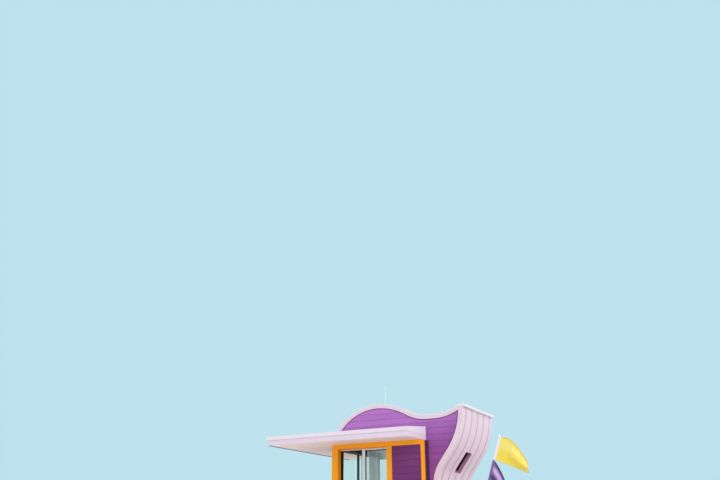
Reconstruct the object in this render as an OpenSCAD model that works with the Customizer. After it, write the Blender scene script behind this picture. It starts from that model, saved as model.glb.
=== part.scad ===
// Beach lifeguard tower: a flat-roofed timber cabin on a raised deck, crossed by a wave-shaped
// roof that runs down into an S-curved rear wall. Front is -Y. The side with the bay is +X, and
// the side with the door is -X.

/* [Wave roof and rear wall] */
// Width of the wave roof and the rear wall
body_w = 2520; // [2000:20:2800]
// Thickness of the wave roof
roof_t = 125; // [100:5:160]
// Thickness of the rear wall
rear_t = 150; // [110:5:180]
// Height of the crown above the ground, under the roof
crown_z = 5249; // [5150:1:5300]
// Distance of the crown in front of the rear wall
crown_back = 2680; // [2550:5:2750]
// Radius of the crown towards the front
crown_front_r = 1630; // [1550:10:1750]
// Radius of the crown towards the dip
crown_rear_r = 2020; // [1900:10:2100]
// Slope where the crown turns into the dip
crown_angle = 29.5; // [27:0.5:31]
// Radius of the front of the dip
dip_r = 1345; // [1250:5:1450]
// Level length at the bottom of the dip
dip_flat = 290; // [200:10:350]
// Radius of the rise behind the dip
rise_r = 1500; // [1400:10:1700]
// Slope at the top of the rise
rise_angle = 31; // [28:0.5:33]
// Height where the rear wall starts to curve inwards
shoulder_z = 5095; // [5070:5:5120]
// Radius of the rear wall's shoulder
shoulder_r = 1925; // [1850:5:2000]
// Steepest lean of the rear wall
lean = 37; // [34:0.5:40]
// Length of the straight leaning stretch
lean_l = 455; // [400:5:500]
// Radius of the rear wall's waist
waist_r = 1060; // [1000:10:1150]
// Outward lean below the waist
foot_lean = 30; // [25:0.5:32]
// Depth of the rear eave's underside below the roof's top
eave_drop = 65; // [40:5:110]
// Overhang of the rear eave behind the rear wall
eave_out = 60; // [40:5:120]
// Distance of the rear eave's ridge behind the inside of the rear wall
eave_ridge = 55; // [30:5:80]
// Depth of the rear eave's edge
eave_t = 75; // [50:5:90]
// Set-back of the side walls from the edges of the wave roof
side_inset = 25; // [10:5:50]
// Thickness of the side walls under the wave
side_t = 110; // [80:5:140]
// Width of the slot window in the rear wall
slot_w = 480; // [300:10:500]
// Length of the slot window along the slope
slot_l = 690; // [500:10:720]
// Height of the middle of the slot window above the ground, on the outside
slot_z = 3640; // [3600:10:3700]
// Offset of the slot window from the middle, towards the far side
slot_x = 0; // [0:5:100]
// Distance of the rod aerial in front of the crown
aerial_in = 345; // [300:5:370]
// Length of the rod aerial
aerial_l = 880; // [600:20:1200]
// Diameter of the rod aerial
aerial_d = 12; // [8:1:20]
// Diameter of the aerial's foot
aerial_foot_d = 60; // [40:5:90]

/* [Cabin] */
// Height of the deck and the cabin floor above the ground
deck_z = 1800; // [1600:20:1900]
// Distance of the cabin's front posts in front of the rear wall
cabin_front = 4055; // [3950:10:4100]
// Distance of the bay's rear end in front of the rear wall
bay_rear = 1055; // [1000:5:1100]
// Projection of the near side's bay beyond the wave roof
bay_out = 350; // [250:10:450]
// Depth of the bay's posts and of the bay's and the front's header beams
post_d = 240; // [200:10:280]
// Width of the near side's front corner post
corner_post_w = 213; // [150:1:240]
// Width of the far side's front corner post
far_post_w = 130; // [90:5:220]
// Width of the middle posts
mid_post_w = 166; // [140:2:220]
// Clear width of the near side's window
window_w = 1664; // [1400:2:1700]
// Height of the header beams
header_h = 140; // [100:5:160]
// Thickness of the bay's rear end board
end_board_t = 20; // [16:2:50]
// Height of the window sills above the deck
sill_h = 950; // [800:10:1100]
// Thickness of the sill boards
sill_t = 50; // [40:2:60]
// Thickness of the siding walls of the cabin
panel_t = 110; // [90:5:130]
// Set-back of the siding from the faces of the posts
panel_inset = 40; // [30:5:60]
// Distance of the front window's near edge from the tower's middle
front_window_near = 1170; // [950:10:1200]
// Distance of the front window's far edge from the tower's middle
front_window_far = 800; // [700:10:950]
// Distance of the front window's middle bar from the tower's middle, towards the near side
front_bar_x = 30; // [0:5:150]
// Set-back of the front window's frame from the faces of the posts
front_frame_inset = 10; // [5:5:60]
// Depth of the front window's frame
front_frame_d = 50; // [40:5:70]
// Height of the head of the front window's frame
front_head_h = 20; // [15:5:60]
// Width of the front window's middle bar
mullion_w = 85; // [50:5:120]
// Width of the frames of the front window and the slot window
frame_w = 60; // [40:5:70]
// Depth of the frames of the side windows and the slot window
frame_d = 60; // [50:5:70]
// Width of the side windows' frames
side_frame_w = 40; // [30:5:60]
// Width of the side windows' meeting stile
stile_w = 104; // [70:2:120]
// Distance of the meeting stile's centre in front of the window's centre
stile_shift = 37; // [0:1:60]
// Distance of the slot window's glass behind the outside of the rear wall
slot_depth = 130; // [60:5:140]
// Thickness of the glass
glass_t = 10; // [6:1:16]
// Thickness of the cabin floor
floor_t = 20; // [15:1:30]
// Clearance between a door leaf and its frame
door_gap = 4; // [3:0.5:6]
// Thickness of the door leaf
door_t = 60; // [45:5:80]
// Height of a door hinge
hinge_h = 100; // [80:5:150]

/* [Canopy] */
// Width of the canopy
canopy_w = 5000; // [4700:20:5200]
// Distance of the canopy's and the deck's front edges in front of the rear wall
canopy_front = 5825; // [5700:10:6000]
// Reach of the canopy's upper band beyond its front edge
front_lip = 95; // [20:5:120]
// Height of the canopy's underside above the ground
canopy_z = 4200; // [4190:5:4230]
// Depth of the canopy's lower band
lower_band = 155; // [120:5:170]
// Depth of the canopy's upper band at its edge
upper_band = 98; // [80:2:110]
// Slope of the canopy's top
canopy_angle = 6.7; // [5:0.1:7.5]
// Set-back of the lower band behind the upper band
band_step = 15; // [5:1:25]

/* [Deck] */
// Distance of the deck's rear edge behind the rear wall
deck_rear = 970; // [900:5:1400]
// Thickness of the deck boards
board_t = 38; // [25:1:45]
// Depth of the deck joists
joist_h = 190; // [140:5:240]
// Thickness of the deck joists
joist_t = 45; // [38:1:60]
// Largest spacing of the deck joists
joist_pitch = 600; // [500:10:700]
// Depth of the girders
girder_h = 240; // [200:10:280]
// Width of the girders
girder_w = 140; // [100:5:160]
// Width of the legs
leg_w = 200; // [180:5:220]
// Distance of the outer legs from the deck's edge
leg_inset = 310; // [250:10:400]
// Number of legs in a row
legs_in_row = 4; // [3:1:5]
// Width of the brace boards
brace_w = 140; // [100:5:160]
// Thickness of the brace boards
brace_t = 40; // [30:2:50]
// Distance of a brace board's ends from the middle of its legs
brace_end = 70; // [60:2:90]

/* [Railings] */
// Height of the railings above the deck
rail_h = 1070; // [1000:10:1100]
// Width of the railing posts
rail_post_w = 90; // [80:2:100]
// Largest spacing of the railing posts
rail_pitch = 1250; // [1000:10:1300]
// Height of the horizontal rails
rail_w = 90; // [70:5:110]
// Thickness of the horizontal rails
rail_t = 38; // [30:2:45]
// Number of horizontal rails under the cap
rail_n = 3; // [2:1:4]
// Width of the cap rail
cap_w = 100; // [90:5:110]
// Thickness of the cap rail
cap_t = 40; // [30:2:50]

/* [Ramp] */
// Width of the ramp
ramp_w = 1200; // [1000:20:1400]
// Slope of the ramp
ramp_angle = 15.5; // [14:0.5:18]
// Share of the ramp's length that has railings
ramp_rail_share = 0.9; // [0.8:0.05:0.95]
// Share of the ramp's length at which its own legs stand
ramp_leg_share = 0.4; // [0.3:0.05:0.5]
// Depth of the ramp's stringers
stringer_h = 190; // [150:5:220]
// Width of the ramp's legs
ramp_leg_w = 140; // [100:5:160]

/* [Flags] */
// Diameter of the flag pole
pole_d = 30; // [25:1:40]
// Length of the flag pole
pole_l = 1780; // [1700:10:1900]
// Backward lean of the flag pole
pole_lean = 19; // [17:0.5:21]
// Height of the pole's foot above the deck
pole_foot = 550; // [500:10:600]
// Thickness of the pole bracket's back plate
bracket_t = 8; // [5:1:12]
// Wall of the pole bracket's socket
socket_wall = 4; // [3:0.5:6]
// Depth of the pole bracket's socket
socket_l = 150; // [100:10:200]
// Clearance around the pole in its socket
socket_gap = 0.3; // [0.2:0.1:0.5]
// Height of a flag at the pole
flag_h = 590; // [540:10:620]
// Length of a flag away from the pole
flag_l = 970; // [900:10:1040]
// Gap between the two flags along the pole
flag_space = 15; // [5:5:40]
// Height of a flag's gathered free end
flag_end = 240; // [150:10:300]
// Droop of the upper flag's free end below level
upper_droop_angle = 45; // [42:1:52]
// Droop of the lower flag's free end below level
lower_droop_angle = 67; // [60:1:70]
// Thickness of a flag's solid
flag_t = 12; // [8:1:16]
// Distance of a flag from the pole
flag_gap = 0.3; // [0.2:0.1:1]

/* [Hidden] */

// Number of straight pieces in one arc of the wave
arc_steps = 14;
// Larger than anything here, for cutting
far_away = 20000;

canopy_mid_z = canopy_z + lower_band;
canopy_hw = canopy_w / 2;
body_hw = body_w / 2;
wall_x = body_hw - side_inset;
bay_x = body_hw + bay_out;
post_in_x = bay_x - post_d;
panel_x = bay_x - panel_inset;
// The far side has no bay, and its posts stand in line with the wave's side wall
far_in_x = wall_x - side_t;
near_bay = [post_in_x, bay_x];
far_side = [far_in_x, wall_x];
header_z = canopy_z - header_h;
sill_z = deck_z + sill_h;
near_light_y = -cabin_front + corner_post_w;
far_light_y = -cabin_front + far_post_w;
mid_post_y = near_light_y + window_w;
panel_y = mid_post_y + mid_post_w;
end_board_y = -bay_rear - end_board_t;
girder_z = deck_z - board_t - joist_h - girder_h;
ramp_l = deck_z / tan(ramp_angle);
ramp_end = deck_rear + ramp_l;
// The frame's origin is on the ground under the middle of the whole tower
origin_y = (ramp_end - canopy_front - front_lip) / 2;

function arc(c, r, from, to) =
    [for (i = [0 : arc_steps]) let (a = from + (to - from) * i / arc_steps) c + r * [cos(a), sin(a)]];

// Centres of the wave's arcs, as [distance from the rear wall, height]
crown_front_c = [-crown_back, crown_z - crown_front_r];
crown_rear_c = [-crown_back, crown_z - crown_rear_r];
dip_c = crown_rear_c + (crown_rear_r + dip_r) * [sin(crown_angle), cos(crown_angle)];
rise_c = [dip_c[0] + dip_flat, dip_c[1] - dip_r + rise_r];
rise_end = rise_c + rise_r * [sin(rise_angle), -cos(rise_angle)];

// Height of the roof's top where it meets the rear eave
roof_end_z = rise_end[1] + roof_t * cos(rise_angle)
    + (roof_t * sin(rise_angle) - rise_end[0]) * tan(rise_angle);
eave_z = roof_end_z - eave_drop;

// The underside of the roof for o = 0, and its top for o = roof_t
function wave_path(o) = concat(
    arc(crown_front_c, crown_front_r + o, 170, 90),
    arc(crown_rear_c, crown_rear_r + o, 90, 90 - crown_angle),
    arc(dip_c, dip_r - o, 270 - crown_angle, 270),
    arc(rise_c, rise_r - o, 270, 270 + rise_angle),
    [rise_end + o * [-sin(rise_angle), cos(rise_angle)]
        + far_away / 50 * [cos(rise_angle), sin(rise_angle)]]);

// Centres of the rear wall's arcs
shoulder_c = [-shoulder_r, shoulder_z];
lean_end = shoulder_c + shoulder_r * [cos(lean), -sin(lean)] - lean_l * [sin(lean), cos(lean)];
waist_c = lean_end + waist_r * [cos(lean), -sin(lean)];
foot_r = (waist_c[1] - deck_z) / sin(foot_lean) - waist_r;
foot_c = waist_c - (waist_r + foot_r) * [cos(foot_lean), sin(foot_lean)];

// The inside of the rear wall for o = 0, and its outside for o = rear_t
function rear_path(o) = concat(
    [[o, shoulder_z + rear_t]],
    arc(shoulder_c, shoulder_r + o, 0, -lean),
    arc(waist_c, waist_r - o, 180 - lean, 180 + foot_lean),
    arc(foot_c, foot_r + o, foot_lean, 0));

function reversed(list) = [for (i = [len(list) - 1 : -1 : 0]) list[i]];

// Shapes drawn as [distance from the rear wall, height], spread across the tower from x0 to x1
module across(x0, x1) {
    translate([x0, -origin_y, 0])
        rotate([90, 0, 90])
            linear_extrude(height = x1 - x0) children();
}

// A box from one corner to the other, in distances from the rear wall
module block(x, y, z) {
    translate([min(x), min(y) - origin_y, min(z)])
        cube([abs(x[1] - x[0]), abs(y[1] - y[0]), abs(z[1] - z[0])]);
}

// A window: y0 to y1 along the wall, z0 to z1 high
module rect(y0, y1, z0, z1) {
    translate([y0, z0]) square([y1 - y0, z1 - z0]);
}

module side(near) {
    if (near) children();
    else mirror([1, 0, 0]) children();
}

module both_sides() {
    side(true) children();
    side(false) children();
}

module roof_outline() {
    intersection() {
        polygon(concat(wave_path(0), reversed(wave_path(roof_t))));
        rect(-far_away, 0, canopy_mid_z, far_away);
    }
}

// All that lies under the wave and in front of the rear wall
module inside_outline() {
    intersection() {
        polygon(concat([[-crown_back - crown_front_r, 0]], wave_path(0), [[far_away / 50, 0]]));
        polygon(concat([[-far_away, deck_z], [-far_away, far_away], [0, far_away]], rear_path(0)));
    }
}

module wave_roof() {
    color([0.89, 0.81, 0.87]) across(-body_hw, body_hw) roof_outline();
}

module rear_eave() {
    tail = rear_t + eave_out;
    color([0.93, 0.87, 0.91]) across(-body_hw, body_hw)
        polygon([[0, eave_z], [tail, eave_z], [tail, eave_z + eave_t],
                 [eave_ridge, roof_end_z + eave_ridge * tan(rise_angle)], [0, roof_end_z]]);
}

// The slot window's outline, through the leaning stretch, between two depths from its inside
module slot_cut(w, l, from, to) {
    mid = (lean_end + shoulder_c + (shoulder_r + 2 * rear_t) * [cos(lean), -sin(lean)]) / 2;
    at_y = mid[0] + (slot_z - mid[1]) * tan(lean);
    translate([-slot_x, at_y - origin_y, slot_z])
        rotate([-lean, 0, 0])
            translate([-w / 2, from - rear_t, -l / 2]) cube([w, to - from, l]);
}

module rear_wall() {
    color([0.89, 0.81, 0.87]) difference() {
        across(-body_hw, body_hw) intersection() {
            polygon(concat(rear_path(0), reversed(rear_path(rear_t))));
            rect(-far_away, far_away, deck_z, eave_z);
        }
        slot_cut(slot_w, slot_l, -rear_t, 2 * rear_t);
    }
}

// Depth of the slot window's glass from the inside of the rear wall
slot_mid = rear_t - slot_depth - glass_t / 2;

module slot_frame() {
    color([0.35, 0.22, 0.32]) difference() {
        slot_cut(slot_w, slot_l, slot_mid - frame_d / 2, slot_mid + frame_d / 2);
        slot_cut(slot_w - frame_w, slot_l - frame_w, slot_mid - frame_d, slot_mid + frame_d);
    }
}

module slot_glass() {
    color([0.17, 0.05, 0.15])
        slot_cut(slot_w - frame_w, slot_l - frame_w, slot_mid - glass_t / 2, slot_mid + glass_t / 2);
}

module gable_wall() {
    color([0.62, 0.4, 0.68]) across(wall_x - side_t, wall_x) intersection() {
        inside_outline();
        rect(-far_away, far_away, canopy_mid_z, far_away);
    }
}

module rear_side_wall() {
    color([0.6, 0.38, 0.66]) across(wall_x - side_t, wall_x) intersection() {
        inside_outline();
        union() {
            rect(end_board_y, far_away, deck_z, canopy_z);
            rect(-bay_rear, far_away, deck_z, canopy_mid_z);
        }
    }
}

module canopy_slab() {
    hw = canopy_hw - band_step;
    color([0.86, 0.8, 0.85])
        block([-hw, hw], [-canopy_front + band_step, -bay_rear], [canopy_z, canopy_mid_z]);
}

module canopy_roofing() {
    fall = tan(canopy_angle);
    edge_z = canopy_mid_z + upper_band;
    front = -canopy_front - front_lip;
    depth = -bay_rear - front;
    color([0.9, 0.84, 0.89]) difference() {
        intersection() {
            translate([0, -bay_rear - origin_y, 0]) rotate([90, 0, 0]) linear_extrude(height = depth)
                polygon([[-canopy_hw, canopy_mid_z], [canopy_hw, canopy_mid_z], [canopy_hw, edge_z],
                         [0, edge_z + canopy_hw * fall], [-canopy_hw, edge_z]]);
            across(-canopy_hw, canopy_hw)
                polygon([[front, canopy_mid_z], [-bay_rear, canopy_mid_z],
                         [-bay_rear, edge_z + depth * fall], [front, edge_z]]);
        }
        across(-body_hw, body_hw) roof_outline();
        across(-wall_x, wall_x) inside_outline();
    }
}

module cabin_floor() {
    color([0.6, 0.5, 0.4]) {
        block([-far_in_x, post_in_x], [-cabin_front + panel_inset + panel_t, end_board_y],
              [deck_z, deck_z + floor_t]);
        block([-far_in_x, far_in_x],
              [-cabin_front + panel_inset + panel_t, foot_c[0] + foot_r], [deck_z, deck_z + floor_t]);
    }
}

// The parts of a side, all placed at x = [inside, outside], with a window that starts at y
module side_posts(x, y) {
    color([0.94, 0.59, 0.14]) {
        block(x, [-cabin_front, y], [deck_z, header_z]);
        block(x, [mid_post_y, panel_y], [deck_z, header_z]);
    }
}

module side_header(x) {
    color([0.9, 0.53, 0.14]) block(x, [-cabin_front, end_board_y], [header_z, canopy_z]);
}

module sill_wall(x, y) {
    color([0.55, 0.32, 0.58]) block(x, [y, mid_post_y], [deck_z, sill_z - sill_t]);
}

module window_sill(x, y) {
    color([0.94, 0.59, 0.14]) block(x, [y, mid_post_y], [sill_z - sill_t, sill_z]);
}

module bay_end_board() {
    color([0.94, 0.59, 0.14])
        block([wall_x, bay_x], [end_board_y, -bay_rear], [deck_z, canopy_z]);
}

// The two openings of a side window, left open by its frame
module window_lights(y) {
    stile_y = (y + mid_post_y) / 2 - stile_shift;
    z = [sill_z + side_frame_w, header_z - side_frame_w];
    rect(y + side_frame_w, stile_y - stile_w / 2, z[0], z[1]);
    rect(stile_y + stile_w / 2, mid_post_y - side_frame_w, z[0], z[1]);
}

module window_frame(x, y) {
    color([0.74, 0.75, 0.72]) across(x[0], x[0] + frame_d) difference() {
        rect(y, mid_post_y, sill_z, header_z);
        window_lights(y);
    }
}

module window_glass(x, y) {
    x0 = x[0] + (frame_d - glass_t) / 2;
    color([0.6, 0.75, 0.78]) across(x0, x0 + glass_t) window_lights(y);
}

module near_siding_panel() {
    color([0.5, 0.27, 0.5])
        block([panel_x - panel_t, panel_x], [panel_y, end_board_y], [deck_z, header_z]);
}

module far_door() {
    x = [wall_x - panel_inset - door_t, wall_x - panel_inset];
    z = [deck_z + door_gap, header_z - door_gap];
    color([0.5, 0.27, 0.5]) {
        block(x, [panel_y + door_gap, end_board_y - door_gap], z);
        for (t = [0.1, 0.5, 0.9]) {
            hinge_z = z[0] + (z[1] - z[0]) * t;
            block(x, [panel_y, panel_y + door_gap], [hinge_z - hinge_h / 2, hinge_z + hinge_h / 2]);
        }
    }
}

module front_header() {
    color([0.9, 0.53, 0.14])
        block([-far_in_x, post_in_x], [-cabin_front, -cabin_front + post_d], [header_z, canopy_z]);
}

module front_wall() {
    y = [-cabin_front + panel_inset, -cabin_front + panel_inset + panel_t];
    color([0.55, 0.32, 0.58]) difference() {
        block([-far_in_x, post_in_x], y, [deck_z, header_z]);
        block([-front_window_far, front_window_near], y + [-1, 1], [sill_z, header_z + 1]);
    }
}

// The two openings of the front window, left open by its frame
module front_lights(y) {
    z = [sill_z + frame_w, header_z - front_head_h];
    block([front_bar_x + mullion_w / 2, front_window_near - frame_w], y, z);
    block([frame_w - front_window_far, front_bar_x - mullion_w / 2], y, z);
}

module front_window_frame() {
    y0 = -cabin_front + front_frame_inset;
    color([0.14, 0.09, 0.07]) difference() {
        block([-front_window_far, front_window_near], [y0, y0 + front_frame_d], [sill_z, header_z]);
        front_lights([y0 - 1, y0 + front_frame_d + 1]);
    }
}

module front_window_glass() {
    y0 = -cabin_front + front_frame_inset + (front_frame_d - glass_t) / 2;
    color([0.6, 0.75, 0.78]) front_lights([y0, y0 + glass_t]);
}

module deck_boards() {
    color([0.63, 0.52, 0.4])
        block([-canopy_hw, canopy_hw], [-canopy_front, deck_rear], [deck_z - board_t, deck_z]);
}

module deck_joists() {
    span = canopy_front + deck_rear - joist_t;
    n = ceil(span / joist_pitch);
    color([0.58, 0.47, 0.36]) for (i = [0 : n]) {
        y = -canopy_front + span * i / n;
        block([-canopy_hw, canopy_hw], [y, y + joist_t], [deck_z - board_t - joist_h, deck_z - board_t]);
    }
}

leg_x = canopy_hw - leg_inset;
leg_front = -canopy_front + leg_inset;
leg_pitch = (canopy_front + deck_rear - 2 * leg_inset) / (legs_in_row - 1);

module deck_girders() {
    color([0.55, 0.44, 0.33]) for (x = [-leg_x, 0, leg_x])
        block([x - girder_w / 2, x + girder_w / 2], [-canopy_front + joist_t, deck_rear - joist_t],
              [girder_z, girder_z + girder_h]);
}

module leg_row(x) {
    color([0.52, 0.42, 0.32]) for (i = [0 : legs_in_row - 1]) {
        y = leg_front + i * leg_pitch;
        block([x - leg_w / 2, x + leg_w / 2], [y - leg_w / 2, y + leg_w / 2], [0, girder_z]);
    }
}

// A brace board that rises from the foot of one leg to the head of the next, one span further on
module brace_outline(span) {
    low = leg_w;
    high = girder_z - leg_w;
    a = atan2(high - low, span - 2 * brace_end);
    translate([brace_end, low]) rotate(a)
        translate([0, -brace_w / 2]) square([(high - low) / sin(a), brace_w]);
}

module braces() {
    color([0.55, 0.44, 0.33]) across(leg_x + leg_w / 2, leg_x + leg_w / 2 + brace_t)
        for (i = [0 : legs_in_row - 2]) {
            rises = i % 2 == 0;
            translate([leg_front + (rises ? i : i + 1) * leg_pitch, 0])
                mirror([rises ? 0 : 1, 0]) brace_outline(leg_pitch);
        }
}

module end_braces() {
    color([0.55, 0.44, 0.33]) both_sides()
        for (y = [leg_front - leg_w / 2, leg_front + (legs_in_row - 1) * leg_pitch + leg_w / 2 + brace_t])
            translate([leg_x, y - origin_y, 0]) rotate([90, 0, 0]) mirror([1, 0, 0])
                linear_extrude(height = brace_t) brace_outline(leg_x - brace_w / 2);
}

// The posts of one stretch of railing, l long, drawn flat; skip leaves out its [first, last] post
module rail_posts(l, slope, skip = [0, 0]) {
    n = ceil((l - rail_post_w) / rail_pitch);
    h = rail_h - cap_t / 2;
    for (i = [skip[0] : n - skip[1]]) {
        y = (l - rail_post_w) * i / n;
        polygon([[y, y * slope], [y + rail_post_w, (y + rail_post_w) * slope],
                 [y + rail_post_w, (y + rail_post_w) * slope + h], [y, y * slope + h]]);
    }
}

// Its rails, and its cap
module rail_bars(l, slope) {
    h = rail_h - cap_t;
    pitch = (h - rail_w) / (rail_n + 0.5);
    for (k = [1 : rail_n]) {
        z = h - rail_w - (k - 0.5) * pitch;
        polygon([[0, z], [l, z + l * slope], [l, z + rail_w + l * slope], [0, z + rail_w]]);
    }
}

module rail_cap(l, slope) {
    z = rail_h - cap_t;
    polygon([[0, z], [l, z + l * slope], [l, z + cap_t + l * slope], [0, z + cap_t]]);
}

// Spreads a flat shape equally to both sides of a plane at x
module sheet_at(x, t) {
    across(x - t / 2, x + t / 2) children();
}

// The railings' middle planes, and how far the caps stand out beyond the posts
rail_x = canopy_hw - cap_w / 2;
cap_out = (cap_w - rail_post_w) / 2;

module side_railing() {
    l = canopy_front + deck_rear - 2 * cap_out;
    start = [cap_out - canopy_front, deck_z];
    color([0.92, 0.85, 0.9]) {
        sheet_at(rail_x, rail_post_w) translate(start) rail_posts(l, 0);
        sheet_at(rail_x, rail_t) translate(start) rail_bars(l, 0);
        sheet_at(rail_x, cap_w) translate(start - [cap_out, 0]) rail_cap(l + 2 * cap_out, 0);
    }
}

// A railing along X, l long from the corner post at the near side, in the plane at y
module cross_railing(y, l, skip) {
    color([0.92, 0.85, 0.9])
        translate([rail_x - rail_post_w / 2, y - origin_y, deck_z]) rotate([90, 0, 180]) {
            linear_extrude(height = rail_post_w, center = true) rail_posts(l, 0, skip);
            linear_extrude(height = rail_t, center = true) rail_bars(l, 0);
            translate([cap_out, 0, 0]) linear_extrude(height = cap_w, center = true)
                rail_cap(l - (skip[0] + skip[1]) * cap_out, 0);
        }
}

module front_railing() {
    cross_railing(-canopy_front + cap_w / 2, 2 * rail_x - rail_post_w, [1, 1]);
}

module rear_railing() {
    cross_railing(deck_rear - cap_w / 2, rail_x - rail_post_w / 2 + canopy_hw - ramp_w, [1, 0]);
}

ramp_x = [-canopy_hw, ramp_w - canopy_hw];

// A sloping strip of the ramp, from top_drop to bottom_drop under its surface, cut level at the ground
module ramp_outline(top_drop, bottom_drop) {
    k = 1 / cos(ramp_angle);
    intersection() {
        polygon([[deck_rear, deck_z - top_drop * k], [deck_rear, deck_z - bottom_drop * k],
                 [ramp_end, -bottom_drop * k], [ramp_end, -top_drop * k]]);
        rect(deck_rear, ramp_end, 0, far_away);
    }
}

module ramp_boards() {
    color([0.63, 0.52, 0.4]) across(ramp_x[0], ramp_x[1]) ramp_outline(0, board_t);
}

module ramp_stringers() {
    color([0.58, 0.47, 0.36]) for (t = [0, 0.5, 1]) {
        x = ramp_x[0] + t * (ramp_w - joist_t);
        across(x, x + joist_t) ramp_outline(board_t, board_t + stringer_h);
    }
}

module ramp_legs() {
    y = deck_rear + ramp_l * ramp_leg_share;
    drop = (board_t + stringer_h) / cos(ramp_angle);
    color([0.52, 0.42, 0.32]) for (x = [ramp_x[0], ramp_x[1] - ramp_leg_w])
        across(x, x + ramp_leg_w) difference() {
            rect(y, y + ramp_leg_w, 0, deck_z);
            polygon([[deck_rear, deck_z - drop], [ramp_end, -drop],
                     [ramp_end, far_away], [deck_rear, far_away]]);
        }
}

module ramp_railings() {
    slope = -tan(ramp_angle);
    l = ramp_l * ramp_rail_share;
    color([0.92, 0.85, 0.9]) for (x = [ramp_x[0] + cap_w / 2, ramp_x[1] - cap_w / 2]) {
        sheet_at(x, rail_post_w) translate([deck_rear, deck_z]) rail_posts(l, slope);
        sheet_at(x, rail_t) translate([deck_rear, deck_z]) rail_bars(l, slope);
        sheet_at(x, cap_w) translate([deck_rear, deck_z]) rail_cap(l, slope);
    }
}

// The flag pole leans back out of a socket on the near rear corner post of the railing
socket_r = pole_d / 2 + socket_gap + socket_wall;
post_rear = deck_rear - cap_out;
pole_y = post_rear + bracket_t + socket_r / cos(pole_lean);
pole_z = deck_z + pole_foot;

// Places shapes drawn up the pole: Z runs up along it and Y away from it, at right angles
module on_pole() {
    translate([rail_x, pole_y - origin_y, pole_z]) rotate([-pole_lean, 0, 0]) children();
}

module flag_pole() {
    color([0.92, 0.92, 0.92]) on_pole() {
        cylinder(h = pole_l, d = pole_d, $fn = 32);
        translate([0, 0, pole_l]) sphere(d = pole_d * 1.6, $fn = 24);
    }
}

module pole_bracket() {
    rise = socket_l * cos(pole_lean);
    out = socket_l * sin(pole_lean) + socket_r;
    color([0.75, 0.75, 0.75]) difference() {
        union() {
            on_pole() translate([0, 0, -socket_wall])
                cylinder(h = socket_l + socket_wall, r = socket_r, $fn = 32);
            translate([rail_x - rail_post_w / 2, 0, 0])
                block([0, rail_post_w], [post_rear, post_rear + bracket_t],
                      [pole_z - 2 * socket_r, pole_z + rise]);
            sheet_at(rail_x, bracket_t) translate([post_rear, pole_z])
                polygon([[0, 0], [bracket_t + socket_r, 0], [out, rise - bracket_t], [0, rise - bracket_t]]);
        }
        on_pole() cylinder(h = 2 * socket_l, r = pole_d / 2 + socket_gap, $fn = 32);
    }
}

// A flag's flat outline beside the pole, with its free end drooping and gathered
module flag_outline(droop) {
    a = -droop + pole_lean;
    tip = flag_l * [cos(a), sin(a)];
    polygon([[0, 0], tip, tip - [0, flag_end], [0, -flag_h]]);
}

upper_flag_top = pole_l - pole_d;
lower_flag_top = upper_flag_top - flag_h - flag_space;

module flag(top, droop) {
    on_pole() translate([-flag_t / 2, pole_d / 2 + flag_gap, top]) rotate([90, 0, 90])
        linear_extrude(height = flag_t) flag_outline(droop);
}

module yellow_flag() {
    color([0.96, 0.84, 0.3]) flag(upper_flag_top, upper_droop_angle);
}

module purple_flag() {
    color([0.5, 0.32, 0.6]) flag(lower_flag_top, lower_droop_angle);
}

module roof_aerial() {
    y = -crown_back - aerial_in;
    top = crown_front_c[1] + sqrt(pow(crown_front_r + roof_t, 2) - pow(y + crown_back, 2));
    foot_h = aerial_foot_d / 2;
    color([0.9, 0.9, 0.9]) difference() {
        translate([0, y - origin_y, top]) {
            cylinder(h = aerial_l, d = aerial_d, $fn = 24);
            translate([0, 0, -foot_h]) cylinder(h = 2 * foot_h, d = aerial_foot_d, $fn = 32);
        }
        across(-body_hw, body_hw) roof_outline();
    }
}

wave_roof();
rear_eave();
rear_wall();
slot_frame();
slot_glass();
both_sides() gable_wall();  // gable_walls
side(true) rear_side_wall();  // near_rear_side_wall
side(false) rear_side_wall();  // far_rear_side_wall
canopy_slab();
canopy_roofing();
cabin_floor();
union() {  // near_bay_posts
    side_posts(near_bay, near_light_y);
    bay_end_board();
}
side_header(near_bay);  // near_bay_header
near_siding_panel();
side(false) side_posts(far_side, far_light_y);  // far_posts
side(false) side_header(far_side);  // far_header
side(false) far_door();
union() {  // sill_walls
    sill_wall([panel_x - panel_t, panel_x], near_light_y);
    side(false) sill_wall([far_in_x, wall_x - panel_inset], far_light_y);
}
union() {  // window_sills
    window_sill(near_bay, near_light_y);
    side(false) window_sill(far_side, far_light_y);
}
union() {  // side_window_frames
    window_frame(near_bay, near_light_y);
    side(false) window_frame(far_side, far_light_y);
}
union() {  // side_window_glass
    window_glass(near_bay, near_light_y);
    side(false) window_glass(far_side, far_light_y);
}
front_header();
front_wall();
front_window_frame();
front_window_glass();
deck_boards();
deck_joists();
deck_girders();
leg_row(leg_x);  // near_legs
leg_row(0);  // middle_legs
leg_row(-leg_x);  // far_legs
both_sides() braces();  // side_braces
end_braces();
side(true) side_railing();  // near_railing
side(false) side_railing();  // far_railing
front_railing();
rear_railing();
ramp_boards();
ramp_stringers();
ramp_legs();
ramp_railings();
flag_pole();
pole_bracket();
yellow_flag();
purple_flag();
roof_aerial();
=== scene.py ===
"""Dresses a beach lifeguard tower: seamed skin, painted boards, glass, decking, ramp, railings and flags."""

import math
import random

import bmesh
import bpy
from bpy.props import FloatProperty, FloatVectorProperty, IntProperty, PointerProperty
from bpy.types import Operator, Panel, PropertyGroup
from mathutils import Matrix, Vector
from mathutils.geometry import interpolate_bezier


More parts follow.
